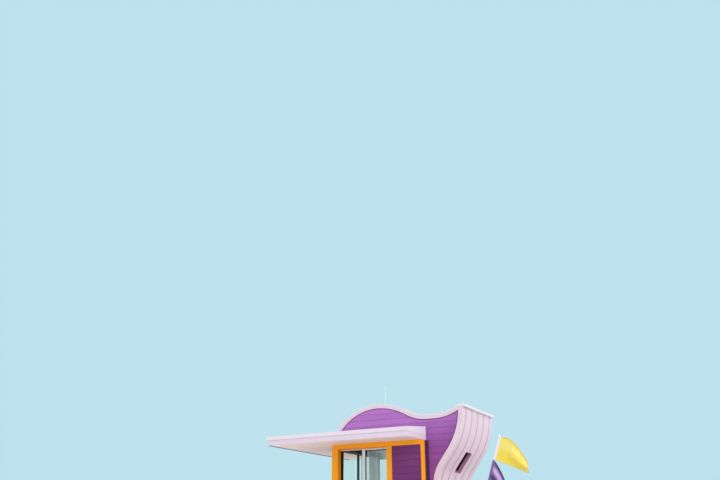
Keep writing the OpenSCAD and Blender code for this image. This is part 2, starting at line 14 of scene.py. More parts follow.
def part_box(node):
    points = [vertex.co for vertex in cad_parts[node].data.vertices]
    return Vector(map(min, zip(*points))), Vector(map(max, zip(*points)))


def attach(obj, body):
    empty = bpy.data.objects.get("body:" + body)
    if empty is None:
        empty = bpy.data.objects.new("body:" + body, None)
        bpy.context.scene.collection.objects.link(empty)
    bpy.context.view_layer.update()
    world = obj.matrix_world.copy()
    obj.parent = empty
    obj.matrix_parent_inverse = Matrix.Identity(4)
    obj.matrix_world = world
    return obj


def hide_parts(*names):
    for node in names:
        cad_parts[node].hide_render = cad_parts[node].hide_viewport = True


bl_info = {
    "name": "Lifeguard Tower",
    "version": (1, 0, 0),
    "blender": (4, 5, 0),
    "location": "View3D > Sidebar > Tower",
    "description": "Builds the visible surfaces of a beach lifeguard tower around its frame",
    "category": "Object",
}

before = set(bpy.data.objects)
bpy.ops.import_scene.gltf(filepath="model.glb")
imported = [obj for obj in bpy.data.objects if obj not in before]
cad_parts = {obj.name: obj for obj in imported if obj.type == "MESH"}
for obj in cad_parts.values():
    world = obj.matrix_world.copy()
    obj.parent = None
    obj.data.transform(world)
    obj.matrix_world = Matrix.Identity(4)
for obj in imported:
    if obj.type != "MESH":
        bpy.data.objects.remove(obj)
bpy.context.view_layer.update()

# Two places closer than this are the same
TINY = 1e-4
# The side that a piece is on, as the sign of its X
NEAR = 1
FAR = -1

# How far edges are rounded on sheet, strips, boards and three sizes of timber
SHEET_EDGE = 0.001
STRIP_EDGE = 0.002
BOARD_EDGE = 0.003
TIMBER_EDGE = 0.004
BEAM_EDGE = 0.006
LEG_EDGE = 0.008

# The tower's axes in the order that puts the one along the grain first
ALONG = {"x": (0, 1, 2), "y": (1, 2, 0), "z": (2, 0, 1)}
# The high boards are lighter, and more so towards the front: partly the sun's bleaching, partly painted light
# where the canopy and eave leave the lower and rear boards in shade. Metres of height, and height for each
# metre forward
FADED_AND_LIT_FROM = 4.2
FADED_AND_LIT_TO = 5.6
FADED_AND_LIT_FORWARD = 0.25
PAINT_GLOSS = 0.22
CRACK_TINT = (0.06, 0.05, 0.04)

# The pole's radius as a share of half its box, whose ends carry the wider ball
POLE_SHARE = 1 / 1.6
# Thickness of a flag's hems and of its heading
HEM_THICK = 0.0035
HEADING_THICK = 0.003

# Distances from the tower's middle between which the ground goes over into the backdrop
GROUND_FROM = 14.0
GROUND_TO = 45.0
GROUND_RADIUS = 60.0
# Rays that see the backdrop's colour, where other rays see the light
SHOWING_RAYS = ("Is Camera Ray", "Is Glossy Ray", "Is Transmission Ray")
# Strength of the sky's light from level to straight above, and its tint
SKY_LEVEL = 0.76
SKY_ABOVE = 1.0
SKY_TINT = (0.94, 0.96, 1.0)
# The soft sun: its strength, its width in degrees, its tint, and the way towards it
SUN_STRENGTH = 1.5
SUN_WIDTH = 40
SUN_TINT = (1.0, 0.97, 0.93)
SUN_TOWARD = Vector((0.5, 0.85, 0.6))

# Where the photograph was taken from, with the tower's ground at height 0
EYE = Vector((20.673, 6.8325, 1.6))
EYE_HEADING = 119.245
EYE_PITCH = 22.97
LENS = 35.0
SENSOR = 36.0
FARTHEST_SHOWN = 500


def screen(red, green, blue):
    """A colour given as it shows on a screen, 0 to 255, in linear light."""
    shares = (red / 255, green / 255, blue / 255)
    return tuple(((c + 0.055) / 1.055) ** 2.4 if c > 0.04 else c / 12.92 for c in shares)


def length(name, description, default):
    """A length in metres that a user may change."""
    return FloatProperty(name=name, description=description, default=default, min=0, max=10, unit="LENGTH")


def share(name, description, default):
    """A share from 0 to 1 that a user may change."""
    return FloatProperty(name=name, description=description, default=default, min=0, max=1, subtype="FACTOR")


def colour(name, description, red, green, blue):
    """A colour that a user may change."""
    return FloatVectorProperty(
        name=name, description=description, default=screen(red, green, blue),
        min=0, max=1, subtype="COLOR", size=3,
    )


class TowerSizes(PropertyGroup):
    """Sizes of the boards, seams and trims that cover the tower."""

    siding_pitch: length("Siding board", "Height of one siding board", 0.18)
    siding_thick: length("Siding thickness", "Thickness of a siding board", 0.015)
    siding_groove: length("Siding groove", "Depth and half width of the groove between boards", 0.008)
    seam_pitch: length("Skin panel", "Width of one panel of the pink skin", 0.5)
    seam_width: length("Skin seam width", "Width of the soft valley between two panels of the skin", 0.13)
    seam_depth: length("Skin seam depth", "Depth of the soft valley between two panels of the skin", 0.026)
    seam_joint: length("Skin joint", "Width and depth of the joint at the bottom of a valley", 0.007)
    skin_step: length("Skin step", "Spacing of the skin's rows of points along the wave", 0.035)
    edge_round: length("Edge round", "Rounding of painted timber edges", 0.005)
    trim_cover: length("Trim cover", "How far the roof's edge trim laps over the top", 0.07)
    trim_drop: length("Trim drop", "How far the roof's edge trim runs down the side", 0.04)
    trim_thick: length("Trim thickness", "Thickness of the roof's edge trim", 0.004)
    deck_board: length("Deck board", "Largest width of a deck board with its gap", 0.146)
    board_gap: length("Board gap", "Gap between two deck boards", 0.007)
    cleat_pitch: length("Cleat spacing", "Spacing of the ramp's foot cleats", 0.42)
    sash_width: length("Sash width", "Width of a sliding sash's thin rails", 0.014)
    gasket_width: length("Gasket width", "Width of the dark gasket around a pane", 0.026)
    bolt_radius: length("Bolt radius", "Radius of a structural bolt's head", 0.014)
    screw_radius: length("Screw radius", "Radius of a deck screw's head", 0.0045)
    # Widths of the dark plum strips that are painted shade in the corner behind the bay
    corner_shade_on_board: length("Corner cover", "Width of the dark trim on the rear of the bay's end board", 0.13)
    corner_shade_on_wall: length("Corner trim", "Width of the dark trim on the wall behind the bay", 0.075)
    lap_pitch: length("Canopy lap", "Spacing of the laps on the canopy's top", 0.62)
    flag_step: length("Flag mesh", "Spacing of the flag cloth's points", 0.02)
    flag_lift: length("Flag lift", "Rise of the flying flag's upper edge above a straight line", 0.14)
    flag_ripple: share("Flag ripple", "Fine ripples as a share of a flag's folds", 0.16)
    flag_heading: length("Flag heading", "Width of the heading that holds a flag to its pole", 0.045)
    pole_sleeve: length("Pole sleeve", "Radius of a flag's sleeve around the pole", 0.017)
    flag_hold: share("Flag hold", "How firmly a flag's folds are held while it falls", 0.4)
    flag_frames: IntProperty(name="Flag frames", description="Steps of the flag's fall", default=36, min=2)


class TowerColours(PropertyGroup):
    """Paint, cloth and timber colours of the tower."""

    skin: colour("Skin", "Pale pink skin of the wave", 222, 204, 217)
    trim: colour("Trim", "Pale lilac trim and eave", 227, 218, 225)
    # The seam colour is dust in the seams together with painted shade in their hollows
    seam: colour("Seam", "Dust in the seams of the pink skin", 152, 118, 140)
    canopy: colour("Canopy", "Pale pink canopy", 219, 204, 219)
    roofing: colour("Canopy top", "Upper band and top of the canopy", 227, 215, 227)
    # The soffit's paler, warmer pink is painted bounce light from the ground onto the canopy's underside
    soffit: colour("Soffit", "Warm pink underside of the canopy", 255, 238, 234)
    purple: colour("Siding", "Purple siding boards", 141, 74, 154)
    # The faded and lit tint is partly sun bleaching and partly painted light on the high, open boards
    purple_faded_and_lit: colour("Faded siding", "Siding boards where the sun has bleached them", 177, 116, 191)
    # The bay siding's deeper purple is painted shade: the canopy's shade on boards of the same paint as the
    # other siding
    plum_painted_shade: colour("Bay siding", "Deeper purple of the boards in the shelter of the canopy", 116, 54, 114)
    # Dark plum of painted shade in the corners: behind the bay, and under the skin's overhang at the rear
    shadow: colour("Dark trim", "Dark plum of the trims in the walls' corners", 84, 42, 84)
    # The slot's reveal is the skin's pink made darker mauve, as painted shade inside the opening
    reveal: colour("Slot reveal", "Mauve lining of the slot window", 184, 134, 164)
    orange: colour("Frame", "Orange posts, headers and sills", 255, 167, 26)
    aluminium: colour("Window frame", "Satin aluminium sashes", 230, 239, 240)
    dark: colour("Front frame", "Dark brown frame of the front window", 38, 22, 16)
    glass: colour("Glass", "Clear window glass", 254, 255, 253)
    sash_glass: colour("Sash glass", "Warm reflection in the glass of the sliding sashes", 255, 236, 234)
    slot_glass: colour("Slot glass", "Dark glass of the slot window", 26, 5, 22)
    lining: colour("Lining", "Pale grey boards inside the cabin", 196, 206, 216)
    deck_light: colour("Board light", "Light grain of the deck boards", 236, 224, 210)
    deck_dark: colour("Board dark", "Dark grain of the deck boards", 198, 180, 160)
    timber_light: colour("Timber light", "Light grain of the legs and beams", 184, 156, 122)
    timber_dark: colour("Timber dark", "Dark grain of the legs and beams", 122, 96, 70)
    railing: colour("Railing", "Pale pink railing paint", 229, 212, 224)
    steel: colour("Steel", "Galvanised bolts and straps", 176, 180, 182)
    pole: colour("Pole", "White flag pole and aerial", 238, 238, 236)
    # Both tints of each flag are painted light and shade, chosen by which way the folds slope
    yellow: colour("Yellow flag", "Yellow cloth on the crests of its folds", 255, 240, 136)
    yellow_painted_shade: colour("Yellow flag's valleys", "Yellow cloth in the valleys of its folds", 255, 222, 66)
    violet_painted_light: colour("Purple flag", "Purple cloth on the crests of its folds", 200, 166, 222)
    violet_painted_shade: colour("Purple flag's valleys", "Purple cloth in the valleys of its folds", 58, 34, 92)
    grime: colour("Grime", "Dust that rain leaves in streaks", 150, 132, 122)
    floor: colour("Ground", "Pale ground under the tower", 243, 242, 241)
    floor_shown: colour("Ground as seen", "Pale ground where the camera looks at it", 219, 218, 217)
    backdrop: colour("Backdrop", "Plain pale backdrop", 190, 226, 238)


class Wire:
    """A value inside a finish or the sky. Arithmetic on it adds the Math nodes that do the same."""

    def __init__(self, graph, socket):
        self.graph = graph
        self.socket = socket

    def math(self, operation, *values):
        return self.graph.node("ShaderNodeMath", {"operation": operation}, dict(enumerate(values)))

    def __add__(self, other):
        return self.math("ADD", self, other)

    def __sub__(self, other):
        return self.math("SUBTRACT", self, other)

    def __rsub__(self, other):
        return self.math("SUBTRACT", other, self)

    def __mul__(self, other):
        return self.math("MULTIPLY", self, other)

    def __truediv__(self, other):
        return self.math("DIVIDE", self, other)

    def __mod__(self, other):
        return self.math("FLOORED_MODULO", self, other)

    def __pow__(self, other):
        return self.math("POWER", self, other)

    def __abs__(self):
        return self.math("ABSOLUTE", self)

    __radd__ = __add__
    __rmul__ = __mul__

    def wave(self):
        return self.math("SINE", self)

    def most(self, other):
        return self.math("MAXIMUM", self, other)


class Graph:
    """Shader nodes being put together."""

    def __init__(self, tree):
        self.tree = tree

    def node(self, kind, settings=None, inputs=None, out=0):
        """Adds a node: its settings are set first, then its sockets' values or links."""
        node = self.tree.nodes.new(kind)
        for key, value in (settings or {}).items():
            setattr(node, key, value)
        self.feed(node, inputs or {})
        return Wire(self, node.outputs[out])

    def feed(self, node, inputs):
        for key, value in inputs.items():
            socket = node.inputs[key]
            if isinstance(value, Wire):
                self.tree.links.new(value.socket, socket)
            elif socket.type == "RGBA":
                socket.default_value = (*value, 1)
            else:
                socket.default_value = value

    def axes(self, vector):
        """The three numbers of a vector."""
        split = self.node("ShaderNodeSeparateXYZ", None, {0: vector}).socket.node
        return [Wire(self, out) for out in split.outputs]

    def showing(self):
        """1 for the rays that see the backdrop's colour, and 0 for the others."""
        rays = [self.node("ShaderNodeLightPath", out=out) for out in SHOWING_RAYS]
        return rays[0].most(rays[1]).most(rays[2])


class Finish(Graph):
    """A procedural material being put together around one Principled shader."""

    def __init__(self, name):
        plain = bpy.data.materials.get(name)
        if plain:
            plain.name = "plain_" + name
        material = bpy.data.materials.new(name)
        material.use_nodes = True
        super().__init__(material.node_tree)
        self.shader = self.tree.nodes["Principled BSDF"]
        self.solid = Wire(self, self.shader.outputs[0])

    def surface(self, inputs):
        self.feed(self.shader, inputs)

    def blend(self, amount, one, other):
        """Ends the material in a mix of two shaders."""
        both = self.node("ShaderNodeMixShader", None, {0: amount, 1: one, 2: other})
        self.feed(self.tree.nodes["Material Output"], {"Surface": both})

    def place(self):
        """The place on the tower, in metres."""
        return self.node("ShaderNodeTexCoord", out="Object")

    def mark(self, name, out="Fac"):
        """What a solid's points carry under a name."""
        return self.node("ShaderNodeAttribute", {"attribute_name": name}, out=out)

    def stretch(self, vector, sizes):
        return self.node("ShaderNodeVectorMath", {"operation": "MULTIPLY"}, {0: vector, 1: sizes})

    def noise(self, vector, scale, detail=3.0, rough=0.55):
        inputs = {"Vector": vector, "Scale": scale, "Detail": detail, "Roughness": rough}
        return self.node("ShaderNodeTexNoise", None, inputs)

    def ease(self, value, low, high, start=0.0, end=1.0):
        """Goes softly from start to end while value goes from low to high."""
        inputs = {"Value": value, "From Min": low, "From Max": high, "To Min": start, "To Max": end}
        return self.node("ShaderNodeMapRange", {"interpolation_type": "SMOOTHSTEP"}, inputs)

    def mix(self, factor, one, other):
        return self.node("ShaderNodeMix", {"data_type": "RGBA"}, {0: factor, 6: one, 7: other}, 2)

    def scaled(self, tint, amount):
        """A colour made lighter or darker."""
        return self.node("ShaderNodeVectorMath", {"operation": "SCALE"}, {0: tint, "Scale": amount})

    def bump(self, height, depth):
        return self.node("ShaderNodeBump", None, {"Height": height, "Distance": depth})


def grain_place(finish, along):
    """The place in the timber with the grain as its first number: each board's own, or the tower's."""
    if along == "board":
        return finish.mark("grain", "Vector")
    axes = finish.axes(finish.place())
    turned = [axes[i] for i in ALONG[along]]
    return finish.node("ShaderNodeCombineXYZ", None, dict(enumerate(turned)))


def board_shade(finish, along):
    """A number from 0 to 1 that differs from board to board."""
    if along == "board":
        return finish.mark("shade")
    return finish.node("ShaderNodeNewGeometry", out="Random Per Island")


def painted(name, tint, grime, rough, along, streaks, patches, faded_and_lit=None):
    """Paint on boards or sheet: soft patches, rain streaks, brush marks, a tone for each board, and where
    asked a lighter tint high up that is partly sun bleaching and partly painted light.
    """
    finish = Finish(name)
    place = finish.place()
    grain = grain_place(finish, along)
    patch = finish.noise(place, 0.9)
    shade = board_shade(finish, along)
    light = 1 + (patch - 0.5) * patches * 2 + (shade - 0.5) * patches
    rain = finish.noise(finish.stretch(place, (11, 11, 0.7)), 1, 5)
    stain = finish.ease(rain, 0.5, 0.74) * finish.ease(patch, 0.35, 0.7) * streaks
    brush = finish.noise(finish.stretch(grain, (2.2, 90, 90)), 1, 4)
    # Lighter paint higher up and further forward: partly the sun's bleaching, partly painted light where the
    # canopy and eave shade the lower and rear boards
    if faded_and_lit:
        _, back, up = finish.axes(place)
        height = up - back * FADED_AND_LIT_FORWARD + (patch - 0.5) * 0.6
        tint = finish.mix(finish.ease(height, FADED_AND_LIT_FROM, FADED_AND_LIT_TO), tint, faded_and_lit)
    finish.surface({
        "Base Color": finish.mix(stain, finish.scaled(tint, light), grime),
        "Roughness": finish.ease(brush + patch * 0.5, 0.4, 1.1, rough - 0.08, rough + 0.12),
        "Specular IOR Level": PAINT_GLOSS,
        "Normal": finish.bump(brush, 0.0006),
    })


def weathered(name, light, dark, along):
    """Grey-brown timber that sun and salt have opened up: rings, fibres, knots and dry cracks."""
    finish = Finish(name)
    grain = grain_place(finish, along)
    shade = board_shade(finish, along)
    bend = finish.noise(finish.stretch(grain, (0.7, 5, 5)), 1, 2)
    rings = (bend * 42 + shade * 9).wave() * 0.5 + 0.5
    fibre = finish.noise(finish.stretch(grain, (3, 110, 110)), 1, 5, 0.65)
    cells = {"Vector": finish.stretch(grain, (1.1, 6.5, 6.5)), "Scale": 1}
    knot = finish.ease(finish.node("ShaderNodeTexVoronoi", None, cells), 0.03, 0.11, 1, 0)
    crack = finish.ease(finish.noise(finish.stretch(grain, (1.4, 60, 60)), 1, 2), 0.66, 0.72)
    depth = rings * 0.35 + fibre * 0.55 + knot * 0.4
    wood = finish.scaled(finish.mix(depth, light, dark), 0.86 + shade * 0.24)
    finish.surface({
        "Base Color": finish.mix(crack * 0.5, wood, CRACK_TINT),
        "Roughness": finish.ease(fibre, 0.2, 0.8, 0.68, 0.88),
        "Normal": finish.bump(fibre * 0.6 - crack, 0.002),
    })


def seamed_skin(name, tint, grime, dust_and_shade, sizes):
    """Painted sheet with dust and painted shade in its seams, and faint rain streaks."""
    finish = Finish(name)
    place = finish.place()
    x = finish.axes(place)[0]
    patch = finish.noise(place, 0.8, 4)
    middle = abs((x + sizes.seam_pitch / 2) % sizes.seam_pitch - sizes.seam_pitch / 2)
    # Darker towards the middle of each seam: dust, and painted shade in the soft valley
    seam = finish.ease(middle, 0, sizes.seam_width * 0.6, 0.55, 0)
    rain = finish.noise(finish.stretch(place, (16, 1.1, 1.1)), 1, 5)
    stain = finish.ease(rain, 0.48, 0.76) * 0.2
    number = x.math("FLOOR", x / sizes.seam_pitch)
    panel = finish.node("ShaderNodeTexWhiteNoise", {"noise_dimensions": "1D"}, {0: number})
    light = 1 + (patch - 0.5) * 0.1 + (panel - 0.5) * 0.04
    orange_peel = finish.noise(place, 55, 2)
    finish.surface({
        "Base Color": finish.mix(seam, finish.mix(stain, finish.scaled(tint, light), grime), dust_and_shade),
        "Roughness": finish.ease(patch + seam * 0.4, 0.2, 0.9, 0.34, 0.55),
        "Specular IOR Level": PAINT_GLOSS,
        "Normal": finish.bump(orange_peel, 0.0006),
    })


def metal(name, tint, rough, metallic, coat=0.0):
    """Metal with a faint mottle."""
    finish = Finish(name)
    place = finish.place()
    mottle = finish.noise(place, 38, 4)
    finish.surface({
        "Base Color": finish.scaled(tint, 0.94 + mottle * 0.12),
        "Metallic": metallic,
        "Roughness": finish.ease(mottle, 0.3, 0.7, rough - 0.06, rough + 0.08),
        "Coat Weight": coat,
    })


def pane(name, clear_tint, gloss_tint, gloss, metallic):
    """Window glass: see-through, with a mirror's gloss towards its edges and a thin film of salt."""
    finish = Finish(name)
    film = finish.noise(finish.stretch(finish.place(), (3, 3, 1.2)), 1, 5)
    facing = finish.node("ShaderNodeLayerWeight", None, {0: 0.5}, 1)
    finish.surface({
        "Base Color": finish.scaled(gloss_tint, 0.9 + film * 0.2),
        "Metallic": metallic,
        "Roughness": finish.ease(film, 0.45, 0.8, 0.02, 0.12),
    })
    clear = finish.node("ShaderNodeBsdfTransparent", None, {"Color": clear_tint})
    mirror = facing ** 4 * 0.5 + finish.ease(film, 0.3, 0.7, gloss * 0.7, gloss * 1.3)
    finish.blend(mirror, clear, finish.solid)


def nylon(name, painted_light_tint, painted_shade_tint, thin):
    """Thin woven cloth that lets some light through, with painted light and shade: lighter where its folds
    slope one way, darker where they slope the other.
    """
    finish = Finish(name)
    u, v, crest = finish.axes(finish.mark("grain", "Vector"))
    weave = (u * 2400).wave() * (v * 2400).wave()
    patch = finish.noise(finish.place(), 7, 3)
    # Painted light and shade: the third number is how the fold slopes there, from the shaded to the lit side
    tint = finish.mix(finish.ease(crest, -0.7, 1.1), painted_shade_tint, painted_light_tint)
    finish.surface({
        "Base Color": finish.scaled(tint, 0.93 + patch * 0.14),
        "Roughness": 0.62,
        "Sheen Weight": 0.25,
        "Normal": finish.bump(weave, 0.0002),
    })
    between = (Vector(painted_light_tint) + Vector(painted_shade_tint)) / 2
    glow = finish.node("ShaderNodeBsdfTranslucent", None, {"Color": between})
    finish.blend(thin, finish.solid, glow)


def ground(name, tint, shown, backdrop):
    """Smooth pale ground that goes over into the backdrop's colour far from the tower."""
    finish = Finish(name)
    place = finish.place()
    patch = finish.noise(place, 0.25, 3)
    camera = finish.node("ShaderNodeLightPath", out="Is Camera Ray")
    finish.surface({
        "Base Color": finish.scaled(finish.mix(camera, tint, shown), 0.97 + patch * 0.06),
        "Roughness": 0.9,
        "Specular IOR Level": 0.1,
    })
    away = finish.node("ShaderNodeVectorMath", {"operation": "LENGTH"}, {0: place}, 1)
    glow = finish.node("ShaderNodeEmission", None, {"Color": backdrop, "Strength": 1.0})
    far = finish.ease(away, GROUND_FROM, GROUND_TO)
    finish.blend(far * finish.showing(), finish.solid, glow)


def finishes(sizes, tints):
    """Makes every finish of the tower; a finish takes the place of an imported material of the same name."""
    dust_and_shade = tints.grime
    seamed_skin("wave_skin", tints.skin, dust_and_shade, tints.seam, sizes)
    painted("eave_trim", tints.trim, dust_and_shade, rough=0.38, along="x", streaks=0.12, patches=0.04)
    painted("canopy", tints.canopy, dust_and_shade, rough=0.42, along="y", streaks=0.14, patches=0.05)
    painted("canopy_top", tints.roofing, dust_and_shade, rough=0.42, along="y", streaks=0.14, patches=0.05)
    # Soffit paint made paler and warmer as painted bounce light
    painted("soffit", tints.soffit, dust_and_shade, rough=0.5, along="board", streaks=0.1, patches=0.05)
    # Siding that turns lighter high up: partly sun bleaching, partly painted light
    painted("purple_siding", tints.purple, dust_and_shade, rough=0.5, along="board", streaks=0.05, patches=0.09,
            faded_and_lit=tints.purple_faded_and_lit)
    # Bay siding: the siding's paint made deeper as painted shade of the canopy
    painted("bay_siding_painted_shade", tints.plum_painted_shade, dust_and_shade, rough=0.55, along="board", streaks=0.05, patches=0.09)
    # Dark plum strips that are painted shade in the walls' corners
    painted("corner_painted_shade", tints.shadow, dust_and_shade, rough=0.55, along="z", streaks=0.05, patches=0.05)
    # Darker mauve of painted shade inside the slot's reveal
    painted("slot_reveal", tints.reveal, dust_and_shade, rough=0.5, along="y", streaks=0.05, patches=0.05)
    painted("orange_frame", tints.orange, dust_and_shade, rough=0.46, along="z", streaks=0.04, patches=0.06)
    painted("orange_board", tints.orange, dust_and_shade, rough=0.46, along="board", streaks=0.04, patches=0.06)
    painted("railing_paint", tints.railing, dust_and_shade, rough=0.48, along="y", streaks=0.2, patches=0.08)
    painted("cabin_lining", tints.lining, dust_and_shade, rough=0.6, along="y", streaks=0.05, patches=0.05)
    # Dark boards that are painted shade inside the room
    painted("painted_shade_lining", tints.dark, dust_and_shade, rough=0.6, along="y", streaks=0.05, patches=0.05)
    painted("floor_sheet", tints.timber_light, dust_and_shade, rough=0.6, along="y", streaks=0.2, patches=0.08)
    weathered("decking", tints.deck_light, tints.deck_dark, "board")
    weathered("timber_x", tints.timber_light, tints.timber_dark, "x")
    weathered("timber_y", tints.timber_light, tints.timber_dark, "y")
    weathered("timber_z", tints.timber_light, tints.timber_dark, "z")
    metal("aluminium_frame", tints.aluminium, rough=0.42, metallic=0.15)
    metal("dark_frame", tints.dark, rough=0.45, metallic=0.1)
    metal("clamp_steel", tints.steel, rough=0.45, metallic=0.85)
    metal("white_pole", tints.pole, rough=0.3, metallic=0.0, coat=0.4)
    pane("window_glass", tints.glass, tints.glass, gloss=0.012, metallic=1.0)
    pane("sash_glass", tints.glass, tints.sash_glass, gloss=0.2, metallic=1.0)
    pane("slot_glass", tints.slot_glass, tints.slot_glass, gloss=0.75, metallic=0.0)
    # Flag cloth with painted light and shade on its folds
    nylon("yellow_cloth", tints.yellow, tints.yellow_painted_shade, thin=0.38)
    nylon("purple_cloth", tints.violet_painted_light, tints.violet_painted_shade, thin=0.1)
    nylon("white_heading", tints.pole, tints.pole, thin=0.1)
    ground("ground", tints.floor, tints.floor_shown, tints.backdrop)


def placed(name, data, finish):
    """Puts a mesh with one finish in the scene."""
    data.materials.append(bpy.data.materials[finish])
    obj = bpy.data.objects.new(name, data)
    bpy.context.scene.collection.objects.link(obj)
    return obj


class Shape:
    """Solids that become one piece of the tower. Each solid has its own shade and grain."""

    def __init__(self, seed=1):
        self.mesh = bmesh.new()
        self.shade = self.mesh.verts.layers.float.new("shade")
        self.grain = self.mesh.verts.layers.float_vector.new("grain")
        self.chance = random.Random(seed)

    def mark(self, verts, along):
        """Gives one solid its shade, and its grain along an axis."""
        shade = self.chance.random()
        start = Vector([self.chance.uniform(0, 40) for _ in range(3)])
        for vert in verts:
            place = tuple(vert.co)
            vert[self.shade] = shade
            vert[self.grain] = Vector(place[along:] + place[:along]) + start

    def block(self, low, high):
        """A box from one corner to the other, with its grain along its longest side."""
        low, high = Vector(low), Vector(high)
        size = high - low
        place = Matrix.LocRotScale((low + high) / 2, None, size)
        verts = bmesh.ops.create_cube(self.mesh, size=1, matrix=place)["verts"]
        self.mark(verts, max(range(3), key=lambda i: abs(size[i])))
        return verts

    def prism(self, points, move, along=None):
        """A solid between a flat outline and the same outline moved, with its grain along an axis."""
        first = [self.mesh.verts.new(p) for p in points]
        last = [self.mesh.verts.new(Vector(p) + Vector(move)) for p in points]
        self.mesh.faces.new(first[::-1])
        self.mesh.faces.new(last)
        for i in range(len(points)):
            self.mesh.faces.new((first[i - 1], first[i], last[i], last[i - 1]))
        if along is not None:
            self.mark(first + last, along)
        return first + last

    def disc(self, point, axis, radius, height, sides):
        """A disc or rod that stands on a point."""
        axis = Vector(axis).normalized()
        turn = axis.to_track_quat("Z", "Y")
        place = Matrix.LocRotScale(Vector(point) + axis * height / 2, turn, None)
        made = bmesh.ops.create_cone(
            self.mesh, cap_ends=True, segments=sides, radius1=radius, radius2=radius, depth=height,
            matrix=place,
        )
        self.mark(made["verts"], 2)

    def bolt(self, point, axis, radius):
        """A washer with a hexagon head on it."""
        washer, washer_radius, washer_sides = radius * 0.3, radius * 1.9, 16
        head, head_sides = radius * 0.8, 6
        self.disc(point, axis, washer_radius, washer, washer_sides)
        self.disc(Vector(point) + Vector(axis).normalized() * washer, axis, radius, head, head_sides)

    def sweep(self, path, section):
        """Moves a closed section of (x, depth) along a path; depth runs against the path's normal."""
        rows = []
        for point, normal in path:
            places = [Vector((x, *(point - normal * depth))) for x, depth in section]
            rows.append([self.mesh.verts.new(place) for place in places])
        for row, after in zip(rows, rows[1:]):
            for i in range(len(section)):
                self.mesh.faces.new((row[i - 1], row[i], after[i], after[i - 1]))
        self.mesh.faces.new(rows[0])
        self.mesh.faces.new(rows[-1][::-1])
        self.mark([vert for row in rows for vert in row], 1)

    def trim(self, ends):
        """Cuts off everything beyond planes, each a point and a way outwards, and closes the cuts."""
        for point, outward in ends:
            parts = self.mesh.verts[:] + self.mesh.edges[:] + self.mesh.faces[:]
            cut = bmesh.ops.bisect_plane(
                self.mesh, geom=parts, dist=TINY / 10, plane_co=point, plane_no=outward, clear_outer=True
            )
            edges = [part for part in cut["geom_cut"] if isinstance(part, bmesh.types.BMEdge)]
            bmesh.ops.holes_fill(self.mesh, edges=edges)

    def piece(self, name, finish, replaces=(), bevel=0.0, smooth=False):
        """Turns the solids into a piece that rides with the tower."""
        bmesh.ops.recalc_face_normals(self.mesh, faces=self.mesh.faces)
        data = bpy.data.meshes.new(name)
        self.mesh.to_mesh(data)
        self.mesh.free()
        obj = placed(name, data, finish)
        if smooth:
            data.shade_smooth()
            data.set_sharp_from_angle(angle=math.radians(40))
        if bevel:
            round_edges(obj, bevel)
        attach(obj, "root")
        if replaces:
            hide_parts(*replaces)
        return obj


def round_edges(obj, width, segments=2):
    """Rounds every sharp edge of an object."""
    bevel = obj.modifiers.new("round_edges", "BEVEL")
    bevel.width = width
    bevel.segments = segments
    bevel.limit_method = "ANGLE"
    bevel.angle_limit = math.radians(35)
    bevel.harden_normals = True


def dress(finish, *names, bevel=0.0):
    """Gives nodes of the frame their finish, and rounds their edges."""
    for name in names:
        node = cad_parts[name]
        node.data.materials.clear()
        node.data.materials.append(bpy.data.materials[finish])
        if bevel:
            weld = node.modifiers.new("weld", "WELD")
            weld.merge_threshold = TINY
            round_edges(node, bevel)


def borders(faces):
    """The closed outlines around flat faces that join, as (y, z) points in order."""
    edges = set()
    for corners in faces:
        points = [(round(corner.y, 4), round(corner.z, 4)) for corner in corners]
        for edge in zip(points, points[1:] + points[:1]):
            if edge[::-1] in edges:
                edges.remove(edge[::-1])
            elif edge[0] != edge[1]:
                edges.add(edge)
    follow = dict(edges)
    loops = []
    while follow:
        loop = [min(follow)]
        while follow[loop[-1]] != loop[0]:
            loop.append(follow.pop(loop[-1]))
        del follow[loop[-1]]
        loops.append([Vector(point) for point in loop])
    return loops


def outline(name):
    """The outline of a node's outermost face towards +X, as (y, z) points in order."""
    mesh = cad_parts[name].data
    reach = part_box(name)[1].x - TINY
    faces = [[mesh.vertices[i].co for i in face.vertices] for face in mesh.polygons]
    return borders(corners for corners in faces if min(corner.x for corner in corners) > reach)[0]


def without_short_steps(loop, least):
    """An outline without the points on straight stretches, and without those that crowd a gentle bend."""
    straight, gentle = math.radians(1), math.radians(20)
    points = list(loop)
    i = 0
    while i < len(points) and len(points) > 3:
        before = points[i] - points[i - 1]
        after = points[(i + 1) % len(points)] - points[i]
        turn = before.angle(after, 0)
        crowded = min(before.length, after.length) < least
        if turn < straight or crowded and turn < gentle:
            points.pop(i)
            i = max(i - 1, 0)
        else:
            i += 1
    return points


def long_stretches(loop):
    """The two longest stretches of an outline that run without a sharp corner."""
    count = len(loop)
    sharp = math.radians(25)
    corners = []
    for i in range(count):
        before = loop[i] - loop[i - 1]
        after = loop[(i + 1) % count] - loop[i]
        if before.angle(after) > sharp:
            corners.append(i)
    found = []
    for first, last in zip(corners, corners[1:] + [corners[0] + count]):
        found.append([loop[i % count] for i in range(first, last + 1)])
    return sorted(found, key=lambda run: -sum((b - a).length for a, b in zip(run, run[1:])))[:2]


